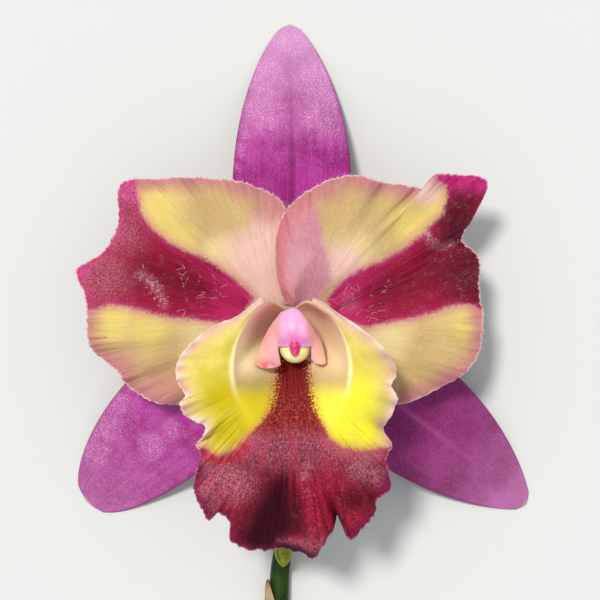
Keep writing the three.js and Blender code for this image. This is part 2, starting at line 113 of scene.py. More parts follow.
lamp_light = bpy.data.lights.new("high_lamp", "SUN")
lamp_light.energy = LAMP_STRENGTH
lamp_light.angle = LAMP_SOFTNESS
lamp_light.color = LAMP_COLOUR
lamp = in_scene("high_lamp", lamp_light)
lamp.rotation_euler = LAMP_AIM.to_track_quat("-Z", "Y").to_euler()

room = bpy.data.worlds.new("pale_room")
room.use_nodes = True
room_glow = room.node_tree.nodes["Background"]
room_glow.inputs["Color"].default_value = ROOM_COLOUR
room_glow.inputs["Strength"].default_value = ROOM_STRENGTH
bpy.context.scene.world = room

# ------------------------------------------------------------------ sepals
# Three narrow blades of firm magenta tissue, the outermost whorl of the flower. They leave
# the ovary's top, arch out and come down, and the flower lies on their three tips.

AXIS = np.array([0.0, 1.5])
COLLAR_RADIUS = 4.3
SEPAL_LEVEL = 17.6
SEPAL_THICKNESS = 0.8
SEPAL_EDGE_SHARE = 0.35
SEPAL_BASE_HALF_WIDTH = 2.3
SEPAL_TIP_LEVEL = 0.15
SEPAL_TIP_ROUNDING = 0.02
SEPAL_SIDE_ROUNDING = 0.06
SEPAL_ROWS = 150
SEPAL_COLUMNS = 61
SEPAL_ARCH = 1.0
SEPAL_ROLL = 1.6
SEPAL_FALLS = (0.15, 1.03)
MIDRIB_GROOVE = 0.45
MIDRIB_WIDTH = 0.12
CHANNEL_HEIGHT = 0.10
CHANNELS_EACH_SIDE = 5.5
# Each sepal leaves the ovary at an angle in degrees and is broadest at the share widest of its
# length. Its shades say how much of each tint it has, among them painted light where the lamp
# falls and painted shade where a petal's shadow falls, and its spots where painted glints gather.
SEPALS = {
    "dorsal_sepal": dict(
        shape=dict(
            tip=(-0.2, 70.3), leaves=90, half_width=13.3, widest=0.42, point=0.74,
            tip_half_width=0.9, bow=-0.5),
        shades=dict(paler=1.0, lit=0.0, dusky=0.0, ridge=0.0, sparkle=0.30),
        sparkling=[
            (-6.5, 58.0, 6.0), (6.8, 57.0, 6.0), (-6.6, 49.5, 5.0), (7.9, 48.6, 5.0), (0.0, 66.0, 4.0),
            (-11.2, 45.0, 2.2), (-12.0, 40.5, 1.8), (-12.6, 36.5, 1.5)]),
    "left_lateral_sepal": dict(
        shape=dict(
            tip=(-47.1, -40.1), leaves=220, half_width=13.4, widest=0.45, point=0.56,
            tip_half_width=1.6, bow=-1.3),
        shades=dict(paler=0.35, lit=0.25, dusky=0.0, ridge=1.0, sparkle=0.30),
        sparkling=[
            (-42.5, -21.8, 4.5), (-39.5, -16.5, 4.0), (-44.6, -28.0, 3.5), (-31.6, -26.3, 3.6),
            (-27.0, -22.5, 2.4)]),
    "right_lateral_sepal": dict(
        shape=dict(
            tip=(54.5, -40.6), leaves=322, half_width=13.4, widest=0.42, point=0.82,
            tip_half_width=1.2, bow=0.4),
        shades=dict(paler=0.6, lit=0.0, dusky=0.5, ridge=0.75, sparkle=0.14),
        sparkling=[]),
}


def smooth(low, high, x):
    t = np.clip((x - low) / (high - low), 0, 1)
    return t * t * (3 - 2 * t)


def bump(x, centre, width):
    return np.exp(-(((x - centre) / width) ** 2))


def swell(x):
    return np.maximum(np.sin(np.pi * x), 0)


def closeness(plan, spots):
    """1 in the middle of any of the round spots, fading to 0 beyond their radius."""
    nearest = np.zeros(plan.shape[:-1])
    for x, y, radius in spots:
        distance = np.hypot(plan[..., 0] - x, plan[..., 1] - y)
        nearest = np.maximum(nearest, bump(distance, 0, radius))
    return nearest


def add_piece(name, mesh, finish):
    piece = in_scene(name, mesh)
    mesh.materials.append(finish)
    mesh.shade_smooth()
    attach(piece, "root")
    return piece


def mesh_of(name, points, faces, marks):
    """A mesh in the frame, whose marks are named numbers kept on its points."""
    mesh = bpy.data.meshes.new(name)
    mesh.from_pydata(in_frame(points).tolist(), [], faces)
    for mark, values in marks.items():
        layer = mesh.attributes.new(mark, "FLOAT", "POINT")
        layer.data.foreach_set("value", np.ascontiguousarray(values, np.float32))
    return mesh


def blade_body(middle, thickness):
    """The points and faces of a thin closed blade, its upper side first, round a grid of points."""
    rows, columns = middle.shape[:2]
    normal = np.cross(np.gradient(middle, axis=0), np.gradient(middle, axis=1))
    normal /= np.linalg.norm(normal, axis=-1, keepdims=True) + 1e-9
    upper_first = normal[..., 2].mean() > 0
    if not upper_first:
        normal = -normal
    half = normal * (np.asarray(thickness) / 2)[..., None]
    upper = (middle + half).reshape(-1, 3)
    lower = (middle - half).reshape(-1, 3)
    lower[:, 2] = np.maximum(lower[:, 2], 0)
    count = rows * columns
    at = np.arange(count).reshape(rows, columns)
    quads = np.stack([at[:-1, :-1], at[1:, :-1], at[1:, 1:], at[:-1, 1:]], -1).reshape(-1, 4)
    ring = np.concatenate([at[:, 0], at[-1, 1:], at[-2::-1, -1], at[0, -2::-1]])
    here, onward = ring[:-1], ring[1:]
    walls = np.stack([onward, here, here + count, onward + count], -1)
    if not upper_first:
        quads = quads[:, ::-1]
        walls = walls[:, ::-1]
    return np.vstack([upper, lower]), np.vstack([quads, quads[:, ::-1] + count, walls]).tolist()


def blade(name, middle, thickness, marks):
    """A mesh of such a blade, with its marks on both sides and one that tells its upper side."""
    grid = middle.shape[:2]
    marks = {mark: np.tile(np.broadcast_to(values, grid).ravel(), 2) for mark, values in marks.items()}
    marks["upper"] = np.repeat([1.0, 0.0], grid[0] * grid[1])
    return mesh_of(name, *blade_body(middle, thickness), marks)


def screen_colour(*channels):
    """A colour as it looks on a screen, 0 to 1, as the shader's own light values."""
    return (*(c / 12.92 if c <= 0.04045 else ((c + 0.055) / 1.055) ** 2.4 for c in channels), 1)


class Amount:
    """A number that varies over a surface, which is added, multiplied and faded like a plain one."""

    def __init__(self, finish, socket):
        self.finish = finish
        self.socket = socket

    def math(self, operation, first, second=0.0):
        return self.finish.node("Math", {0: first, 1: second}, operation=operation)

    def __add__(self, other):
        return self.math("ADD", self, other)

    def __sub__(self, other):
        return self.math("SUBTRACT", self, other)

    def __rsub__(self, other):
        return self.math("SUBTRACT", other, self)

    def __mul__(self, other):
        return self.math("MULTIPLY", self, other)

    def __abs__(self):
        return self.math("ABSOLUTE", self)

    def at_least(self, other):
        return self.math("MAXIMUM", self, other)

    def fade(self, low, high):
        """0 where the number is at low or beyond, and 1 at high, with a soft change between."""
        limits = {"Value": self, "From Min": low, "From Max": high}
        return self.finish.node("MapRange", limits, "Result", interpolation_type="SMOOTHSTEP")


class Finish:
    """A material's nodes, put together one step at a time. Colours are given as they look on a screen."""

    SCATTER = {"Subsurface Radius": (1.0, 0.45, 0.35), "Subsurface Scale": 0.0012}

    def __init__(self, name, roughness, gloss=0.25, coat=0.0, translucency=0.0):
        self.material = bpy.data.materials.new(name)
        self.material.use_nodes = True
        self.shader = self.material.node_tree.nodes["Principled BSDF"]
        self.shader.inputs["Roughness"].default_value = roughness
        self.shader.inputs["Specular IOR Level"].default_value = gloss
        self.shader.inputs["Coat Weight"].default_value = coat
        self.shader.inputs["Subsurface Weight"].default_value = translucency
        for socket, value in self.SCATTER.items():
            self.shader.inputs[socket].default_value = value
        self.place = self.node("TexCoord", output="Object")

    def feed(self, socket, value):
        if isinstance(value, Amount):
            self.material.node_tree.links.new(value.socket, socket)
        else:
            socket.default_value = screen_colour(*value) if isinstance(value, tuple) else value

    def node(self, kind, sockets=None, output=0, **settings):
        """The output of a new node with these settings and with its sockets fed."""
        made = self.material.node_tree.nodes.new("ShaderNode" + kind)
        for setting, value in settings.items():
            setattr(made, setting, value)
        for socket, value in (sockets or {}).items():
            self.feed(made.inputs[socket], value)
        return Amount(self, made.outputs[output])

    def mark(self, name):
        return self.node("Attribute", output="Fac", attribute_name=name)

    def area(self, name, uneven):
        """How far a patch of tint reaches, with an uneven edge."""
        return (self.mark(name) + uneven * 0.35).fade(0.08, 0.95)

    def noise(self, size_mm, detail=3.0, rough=0.55):
        """Soft random patches of about that size, from 0 to 1 round 0.5."""
        sockets = {"Vector": self.place, "Scale": 1 / (size_mm * MM), "Detail": detail, "Roughness": rough}
        return self.node("TexNoise", sockets, "Fac")

    def grain(self, size_mm):
        """The distance to the nearest of many scattered points, in units of their spacing."""
        return self.node("TexVoronoi", {"Vector": self.place, "Scale": 1 / (size_mm * MM)}, "Distance")

    def streaks(self, around, outward, around_count, outward_count, detail=3.0):
        """Random streaks that run outward, from two marks that say where a point lies."""
        joined = self.node("CombineXYZ", {0: around * around_count, 1: outward * outward_count})
        return self.node("TexNoise", {"Vector": joined, "Scale": 1.0, "Detail": detail}, "Fac")

    def mix(self, share, first, second):
        return self.node("Mix", {"Factor": share, "A": first, "B": second}, "Result", data_type="RGBA")

    def layers(self, tone, *coats):
        """A ground tone with coats over it, each with the share in which it covers and its tone."""
        for share, coat in coats:
            tone = self.mix(share, tone, coat)
        return tone

    def relief(self, height, depth_mm, strength, below=None):
        """Fine ups and downs of the surface, over coarser ones below."""
        sockets = {"Strength": strength, "Distance": depth_mm * MM, "Height": height}
        if below is not None:
            sockets["Normal"] = below
        return self.node("Bump", sockets, "Normal")

    def done(self, tone, normal=None):
        self.feed(self.shader.inputs["Base Color"], tone)
        if normal is not None:
            self.feed(self.shader.inputs["Normal"], normal)
        return self.material


def sepal_finish():
    finish = Finish("sepal_tissue", roughness=0.5, gloss=0.14, translucency=0.1)
    along, across = finish.mark("along"), finish.mark("across")
    patches = finish.noise(7, 4)
    streak = finish.streaks(across, along, 26, 4)
    fine = finish.streaks(across, along, 70, 7)
    outward = along + patches * 0.3
    # Painted glints: pale dots where light catches the sparkling cells, thicker in the listed spots.
    clustered = (finish.mark("sparkling") + (finish.noise(2, 4) - 0.5)).fade(0.10, 0.90)
    dotted = (finish.noise(4) + along).fade(0.62, 1.22) * finish.mark("sparkle") + clustered * 0.60
    midrib = abs(across).fade(0.09, 0.0) * along.fade(0.95, 0.3)
    lit_tone = finish.mix(finish.noise(3, 4).fade(0.38, 0.64), (0.70, 0.23, 0.60), (0.81, 0.43, 0.71))
    rib_tone = finish.mix(finish.mark("ridge"), (0.38, 0.04, 0.27), (0.72, 0.36, 0.62))
    upper = finish.layers(
        finish.mix(patches.fade(0.35, 0.65), (0.53, 0.08, 0.41), (0.62, 0.14, 0.51)),
        (streak.fade(0.45, 0.75) * 0.30, (0.69, 0.30, 0.59)),
        (fine.fade(0.50, 0.72) * 0.30, (0.43, 0.06, 0.32)),
        ((along + patches * 0.35).fade(0.60, 1.30) * finish.mark("paler"), (0.76, 0.53, 0.71)),
        # Painted light on the left lateral sepal and painted shade from the right petal's shadow on the
        # right one.
        (finish.mark("lit") * outward.fade(1.05, 0.70), lit_tone),
        (finish.mark("dusky") * outward.fade(1.20, 0.85), (0.42, 0.10, 0.30)),
        (along.fade(0.32, 0.05) * 0.6, (0.53, 0.13, 0.41)),
        # Painted glints, as pale dots and as pale clustered patches.
        (finish.grain(0.30).fade(0.40, 0.14) * dotted, (0.94, 0.80, 0.90)),
        (clustered * 0.16, (0.84, 0.56, 0.76)),
        (midrib * 0.6, rib_tone),
        (along.fade(0.985, 1.0), (0.69, 0.64, 0.57)),
        (abs(across).fade(0.90, 1.0) * 0.35, (0.43, 0.08, 0.32)))
    under = finish.layers(
        finish.mix(patches.fade(0.3, 0.7), (0.60, 0.28, 0.50), (0.66, 0.39, 0.55)),
        ((abs(across) + along * 0.12).fade(0.22, 0.04) * 0.7, (0.53, 0.52, 0.32)))
    normal = finish.relief(finish.grain(0.38), 0.10, 0.55, finish.relief(fine, 0.25, 0.35))
    return finish.done(finish.mix(finish.mark("upper"), under, upper), normal)


def sepal_middle(u, v, tip, leaves, half_width, widest, point, tip_half_width, bow):
    """The middle surface of a sepal, u of the way out to its tip and v of the way across."""
    foot = AXIS + COLLAR_RADIUS * np.array([math.cos(math.radians(leaves)), math.sin(math.radians(leaves))])
    line = np.array(tip) - foot
    aside = np.array([-line[1], line[0]]) / np.linalg.norm(line)
    left = np.clip(1 - ((u - widest) / (1 - widest)) ** 2, 0, 1)
    outer = tip_half_width + (half_width - tip_half_width) * left ** point
    opened = np.sin(np.pi / 2 * np.clip(u / widest, 0, 1)) ** 1.15
    inner = SEPAL_BASE_HALF_WIDTH + (half_width - SEPAL_BASE_HALF_WIDTH) * opened
    rounded = np.sqrt(np.clip((1 - u) / SEPAL_TIP_ROUNDING, 0.05, 1))
    width = np.where(u > widest, outer, inner) * rounded
    plan = foot + u[..., None] * line + (v * width + bow * swell(u))[..., None] * aside
    fallen = smooth(*SEPAL_FALLS, u) / smooth(*SEPAL_FALLS, 1.0)
    z = SEPAL_LEVEL + SEPAL_ARCH * swell(np.clip(u / 0.6, 0, 1)) - (SEPAL_LEVEL - SEPAL_TIP_LEVEL) * fallen
    z = z - SEPAL_ROLL * v ** 2 * swell(u) ** 0.8 - MIDRIB_GROOVE * bump(v, 0, MIDRIB_WIDTH) * swell(u)
    channels = np.cos(2 * np.pi * CHANNELS_EACH_SIDE * v) * (1 - bump(v, 0, 0.15))
    return np.dstack([plan, z + CHANNEL_HEIGHT * swell(u) * channels])


sepal_tissue = sepal_finish()
along = np.linspace(0, 1, SEPAL_ROWS)[:, None]
across = np.linspace(-1, 1, SEPAL_COLUMNS)[None, :]
to_margin = np.minimum((1 - np.abs(across)) / SEPAL_SIDE_ROUNDING, (1 - along) / SEPAL_TIP_ROUNDING)
sepal_edge = SEPAL_EDGE_SHARE + (1 - SEPAL_EDGE_SHARE) * np.sqrt(np.clip(to_margin, 0, 1))
for sepal_name, sepal in SEPALS.items():
    middle = sepal_middle(along, across, **sepal["shape"])
    marks = {shade: np.full((1, 1), amount) for shade, amount in sepal["shades"].items()}
    marks.update(along=along, across=across, sparkling=closeness(middle, sepal["sparkling"]))
    mesh = blade(sepal_name, middle, SEPAL_THICKNESS * sepal_edge, marks)
    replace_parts(add_piece(sepal_name + "_blade", mesh, sepal_tissue), sepal_name)

# ------------------------------------------------------------------ petals
# Two broad soft fans of cream tissue that leave the collar above the sepals on a narrow
# foot, with a crimson wedge along the midrib and a ruffled, finely toothed margin. The right
# one's upper corner is folded over. Scuffed hairs lie on the wedges and fringe the margins.

PETAL_LEVEL = 20.4
PETAL_THICKNESS = 0.6
PETAL_RISE = 3.2
PETAL_DROOP = 2.2
PETAL_RUFFLE = 0.9
PETAL_FULL_REACH = 30
PETAL_CALM_SPAN = 0.07
PETAL_ROWS = 430
PETAL_COLUMNS = 72
PETAL_CROWDING = 1.35
OVERLAP_FULL_REACH = 8
EDGE_SHARE = 0.3
EDGE_THINS_OVER = 0.8
# For each kind of unevenness: waves along the margin, height in millimetres, step of the seed.
PETAL_WAVES = {
    "crinkles": (110, 0.48, 0), "crimps": (230, 0.18, 20), "swells": (26, 0.4, 30), "veins": (150, 0.09, 40),
    "teeth": (300, 0.22, 60)}
PETAL_TEETH_SET_BACK = 0.12
PETAL_CRINKLED_RIM = 9.0
HAIR_RADIUS = 0.024
HAIR_STEPS = 8
HAIR_CURL = 0.25
HAIR_WAVER = 0.16
HAIR_HEADING = (0.7, 0.8)
FRINGE_LENGTH = 0.55
# A petal's channel is given by its place along the margin, its width and its depth, each pleat
# and fold by its place, width, height and how far out it starts, and the ruffle by its waves,
# their shift and where it is calm. Outlines and tinted areas are places across and up.
PETALS = {
    "left_petal": dict(
        leaves=(128, 216),
        margin=[
            (0.0, 6.0), (0.4, 14.9), (-1.1, 27.2), (-8.8, 32.1), (-18.7, 33.7), (-28.5, 33.4),
            (-37.5, 32.5), (-38.4, 23.7), (-42.1, 17.1), (-47.5, 13.2), (-45.2, 6.6), (-44.8, 0.0),
            (-43.2, -4.8), (-38.2, -9.0), (-35.5, -12.7), (-29.0, -16.2), (-19.7, -15.3), (-9.9, -8.3),
            (-3.9, -1.1)],
        channel=(0.47, 0.07, 2.2),
        pleats=[(0.235, 0.012, -0.5, 0.55), (0.262, 0.010, 0.5, 0.55), (0.292, 0.012, -0.5, 0.60)],
        folds=[(0.30, 0.09, 1.6, -0.4), (0.66, 0.10, 1.4, -0.4), (0.42, 0.09, -5.0, 0.70)],
        ruffle=(11, 0.2, 0.45),
        overlap=0,
        wedge=[
            (-8.0, 7.0), (-9.6, 9.2), (-12.6, 11.5), (-16.0, 14.2), (-19.5, 16.0), (-23.2, 17.6),
            (-26.6, 19.4), (-30.2, 22.5), (-32.6, 25.8), (-33.3, 29.3), (-34.2, 34.0), (-41.0, 35.0),
            (-52.0, 14.0), (-46.6, 4.6), (-43.9, 4.7), (-40.2, 5.4), (-35.8, 5.1), (-31.2, 3.9),
            (-26.4, 2.8), (-21.3, 2.3), (-16.2, 1.6), (-11.7, 2.0)],
        seed=11,
        areas={
            "sunny": [(-29.6, 26.0, 7.5), (-25.0, 19.5, 5.5), (-39.5, 2.0, 6.5), (-31.0, 0.5, 5.0)],
            "tan": [(-18.7, 26.0, 9.5), (-12.5, 21.0, 6.0), (-28.5, -5.5, 9.0)],
            "rosy": [(-5.0, 26.5, 4.5), (-9.0, 32.0, 4.5), (-22.0, 34.0, 4.0), (-32.0, 34.0, 4.0),
                     (-28.0, -15.0, 7.5), (-38.0, -8.5, 5.5)],
            "milky": [(-7.4, 16.0, 7.5), (-5.2, 9.0, 6.0), (-5.0, 22.0, 5.0)],
            "pale": [(-17.0, -1.0, 7.5), (-15.5, 17.5, 4.0)],
            "frosted": [(-33.0, 12.2, 1.2), (-31.9, 11.8, 1.3), (-30.9, 11.0, 1.4), (-30.0, 10.0, 1.4),
                        (-29.2, 8.9, 1.3), (-28.5, 7.7, 1.2), (-28.0, 6.4, 1.1), (-27.6, 5.2, 1.0),
                        (-42.0, 12.0, 7.5), (-37.5, 22.0, 6.5), (-35.5, 30.0, 5.0)],
            "deep": [],
            "magenta": [(-36.8, 31.5, 4.5), (-46.5, 13.0, 2.5)],
        },
    ),
    "right_petal": dict(
        leaves=(58, -36),
        margin=[
            (-1.2, 5.7), (-3.1, 13.6), (-2.6, 22.8), (0.4, 27.9), (6.2, 31.9), (13.2, 34.1), (20.9, 32.6),
            (28.5, 31.4), (31.6, 31.0), (32.0, 34.1), (37.8, 34.1), (43.5, 32.7), (41.0, 25.7),
            (38.4, 20.2), (41.9, 16.0), (41.9, 9.9), (42.5, 3.3), (42.1, -3.3), (39.5, -8.5),
            (32.9, -12.9), (24.1, -16.4), (15.4, -13.6), (7.0, -6.1), (3.1, -1.5)],
        channel=(0.60, 0.05, 2.0),
        pleats=[
            (0.245, 0.016, 0.6, 0.45), (0.266, 0.013, -1.0, 0.45), (0.284, 0.012, 1.2, 0.45),
            (0.302, 0.012, -1.1, 0.50), (0.320, 0.011, 0.8, 0.50)],
        folds=[
            (0.28, 0.08, 1.2, -0.4), (0.76, 0.08, 1.4, -0.4), (0.40, 0.04, 3.0, 0.55),
            (0.48, 0.04, 1.8, 0.60), (0.56, 0.05, -3.6, 0.50)],
        ruffle=(13, 0.1, 0.55),
        overlap=2.6,
        wedge=[
            (8.1, 6.6), (9.6, 9.0), (12.0, 11.1), (15.5, 13.2), (19.7, 14.9), (24.3, 17.4), (28.1, 20.2),
            (31.2, 23.3), (33.7, 25.8), (34.4, 29.2), (34.0, 32.1), (31.8, 33.2), (33.0, 37.0),
            (48.0, 37.0), (52.0, 4.0), (42.1, 4.2), (39.7, 5.7), (36.4, 5.5), (32.3, 4.0), (27.8, 2.7),
            (22.5, 1.8), (16.9, 0.6), (11.0, 2.0)],
        seed=12,
        areas={
            "sunny": [(32.5, 27.0, 5.5), (38.0, 1.2, 3.6), (27.0, 23.0, 5.5)],
            "tan": [(15.0, 25.0, 10.0), (24.0, 27.0, 7.0), (33.0, -9.0, 7.0), (28.0, -4.0, 5.0)],
            "rosy": [(26.0, -16.5, 5.5), (37.0, -12.0, 5.5), (17.0, 34.0, 5.0), (7.0, 32.0, 5.5),
                     (25.5, 32.0, 4.0), (43.0, -3.0, 3.5)],
            "milky": [(11.0, 14.5, 5.0), (30.0, 30.5, 3.5)],
            "pale": [(21.0, -2.0, 6.5), (14.5, 17.0, 5.0)],
            "frosted": [(29.8, 21.2, 1.2), (30.6, 20.0, 1.3), (31.7, 19.0, 1.4), (33.0, 18.5, 1.4),
                        (34.4, 18.6, 1.3), (35.6, 19.2, 1.2), (13.0, 6.0, 2.5)],
            "deep": [(40.5, 13.0, 9.0), (36.0, 25.0, 5.0), (38.0, 21.0, 6.0), (37.6, 28.6, 3.4)],
            "magenta": [(34.0, 34.0, 3.5), (38.0, 33.5, 3.8), (42.5, 32.5, 3.0)],
        },
    ),
}
# For each petal: spots of hair (across, up, spread, count, length), and where its fringe runs.
PETAL_HAIRS = {
    "left_petal": dict(
        spots=[
            (-16.5, 7.5, 4.0, 8, 1.8), (-21.5, 5.5, 3.5, 8, 1.8), (-24.5, 12.0, 3.0, 7, 1.8),
            (-30.0, 8.6, 2.5, 5, 1.4), (-33.0, 12.0, 1.8, 10, 0.8), (-31.0, 10.6, 2.0, 11, 0.8),
            (-29.8, 8.6, 2.0, 11, 0.8), (-28.6, 6.4, 1.6, 10, 0.8)],
        fringe=(0.10, 0.80, 170)),
    "right_petal": dict(
        spots=[
            (12.0, 6.5, 3.5, 9, 1.8), (16.5, 3.5, 3.0, 9, 1.8), (20.0, 8.0, 2.5, 6, 1.6),
            (30.0, 20.9, 1.2, 13, 0.8), (31.3, 19.5, 1.3, 16, 0.8), (33.0, 18.7, 1.3, 16, 0.8),
            (34.8, 18.9, 1.2, 13, 0.8)],
        fringe=(0.12, 0.80, 190)),
}
# Where the right petal's inner lobe lies over the left one. Its lilac tint is partly the tissue's own colour
# and partly painted shade on the lobe turned from the lamp.
SHADED_LILAC_FOLD = [(-6.0, 31.0), (3.5, 30.5), (6.4, 26.0), (7.5, 20.4), (9.3, 10.8), (5.5, 5.0), (-6.0, 4.0)]


def curve_through(points, t):
    """A smooth curve through given points, read at the shares t of the way along."""
    points = np.asarray(points, float)
    padded = np.vstack([2 * points[0] - points[1], points, 2 * points[-1] - points[-2]])
    place = np.asarray(t, float) * (len(points) - 1)
    i = np.clip(place.astype(int), 0, len(points) - 2)
    f = (place - i)[..., None]
    before, start, end, after = padded[i], padded[i + 1], padded[i + 2], padded[i + 3]
    slope_in = (end - before) / 2
    slope_out = (after - start) / 2
    cubic = 2 * start - 2 * end + slope_in + slope_out
    square = -3 * start + 3 * end - 2 * slope_in - slope_out
    return ((cubic * f + square) * f + slope_in) * f + start


def wander(x, knots, seed):
    """An uneven wave along x from 0 to 1, between about -1 and 1, the same at every run."""
    heights = np.random.default_rng(seed).uniform(-1, 1, knots)
    return curve_through(heights[:, None], x)[..., 0]


def waves_along(s, kinds, seed=0):
    """The uneven waves of each kind along a margin."""
    return {kind: wander(s, count, seed + step) * height for kind, (count, height, step) in kinds.items()}


def calm_margin(margin, s, span):
    """A margin with its corners and notches evened out, which the inner part of a blade follows."""
    near = np.minimum(span, np.minimum(s, 1 - s))
    return sum(curve_through(margin, s + step * near) for step in (-1, -0.5, 0, 0.5, 1)) / 5


def distance_inside(plan, outline):
    """How far inside a closed outline each point lies, in millimetres, or less than 0 outside."""
    corners = np.asarray(outline, float)
    nearest = np.full(plan.shape[:-1], np.inf)
    inside = np.zeros(plan.shape[:-1], bool)
    for start, end in zip(corners, np.roll(corners, -1, axis=0)):
        side = end - start
        share = np.clip(((plan - start) @ side) / (side @ side), 0, 1)
        nearest = np.minimum(nearest, np.linalg.norm(plan - start - share[..., None] * side, axis=-1))
        spans = (start[1] > plan[..., 1]) != (end[1] > plan[..., 1])
        crossing = start[0] + (plan[..., 1] - start[1]) * side[0] / (side[1] if side[1] else 1e-9)
        inside ^= spans & (plan[..., 0] < crossing)
    return np.where(inside, nearest, -nearest)


def thinned(thickness, rim):
    """The thickness of a blade that thins towards its rim."""
    return thickness * (EDGE_SHARE + (1 - EDGE_SHARE) * np.sqrt(np.clip(rim / EDGE_THINS_OVER, 0, 1)))


def petal_shape(leaves, margin, channel, pleats, folds, ruffle, overlap, wedge, seed, areas):
    """The middle of a petal, and the marks that its finish reads."""
    s = np.linspace(0, 1, PETAL_ROWS)[:, None]
    r = 1 - (1 - np.linspace(0, 1, PETAL_COLUMNS)[None, :]) ** PETAL_CROWDING
    waves = waves_along(s, PETAL_WAVES, seed)
    edge = curve_through(margin, s)
    calm = calm_margin(margin, s, PETAL_CALM_SPAN)
    goal = calm + (edge - calm) * smooth(0.35, 1, r)[..., None]
    angle = np.radians(leaves[0] + (leaves[1] - leaves[0]) * s)
    foot = AXIS + COLLAR_RADIUS * np.stack([np.cos(angle), np.sin(angle)], -1)
    reach = np.linalg.norm(goal - foot, axis=-1)
    plan = foot + (goal - foot) * r[..., None]
    stripe = distance_inside(plan, wedge)
    rim = reach * (1 - r)

    z = PETAL_RISE * np.sin(np.pi / 2 * np.minimum(1.3 * r, 1)) - PETAL_DROOP * r ** 3
    channel_at, channel_width, channel_depth = channel
    z = z - channel_depth * bump(s, channel_at, channel_width) * swell(r) ** 0.8
    for at, width, lift, start in folds + pleats:
        z = z + lift * bump(s, at, width) * smooth(start, 1, r) ** 1.5
    ruffles, shift, calm_at = ruffle
    lively = smooth(0.03, 0.13, s) * (1 - bump(s, calm_at, 0.12))
    z = z + PETAL_RUFFLE * r ** 4 * np.sin(2 * np.pi * (ruffles * s + shift)) * lively
    near_rim = smooth(PETAL_CRINKLED_RIM, 0.0, rim) * smooth(0.02, 0.08, s)
    z = z + (waves["crinkles"] + waves["crimps"]) * near_rim ** 1.3 + waves["swells"] * smooth(0.5, 1.0, r)
    z = z + waves["veins"] * swell(r) * smooth(-1.0, 1.0, stripe)
    z = z * np.minimum(reach / PETAL_FULL_REACH, 1)
    over = (1 - smooth(0.08, 0.30, s)) * smooth(0, 0.4, r) * np.minimum(reach / OVERLAP_FULL_REACH, 1)
    z = z + overlap * over

    teeth = (waves["teeth"] - PETAL_TEETH_SET_BACK) / np.maximum(reach, 4)
    plan = foot + (goal - foot) * (r * (1 + teeth * smooth(0.9, 1, r)))[..., None]
    marks = {"round": s, "out": r, "stripe": stripe, "rim": rim}
    marks["lilac"] = smooth(-0.9, 1.3, distance_inside(plan, SHADED_LILAC_FOLD)) * (overlap > 0)
    marks.update({area: closeness(plan, spots) for area, spots in areas.items()})
    return np.dstack([plan, PETAL_LEVEL + z]), marks


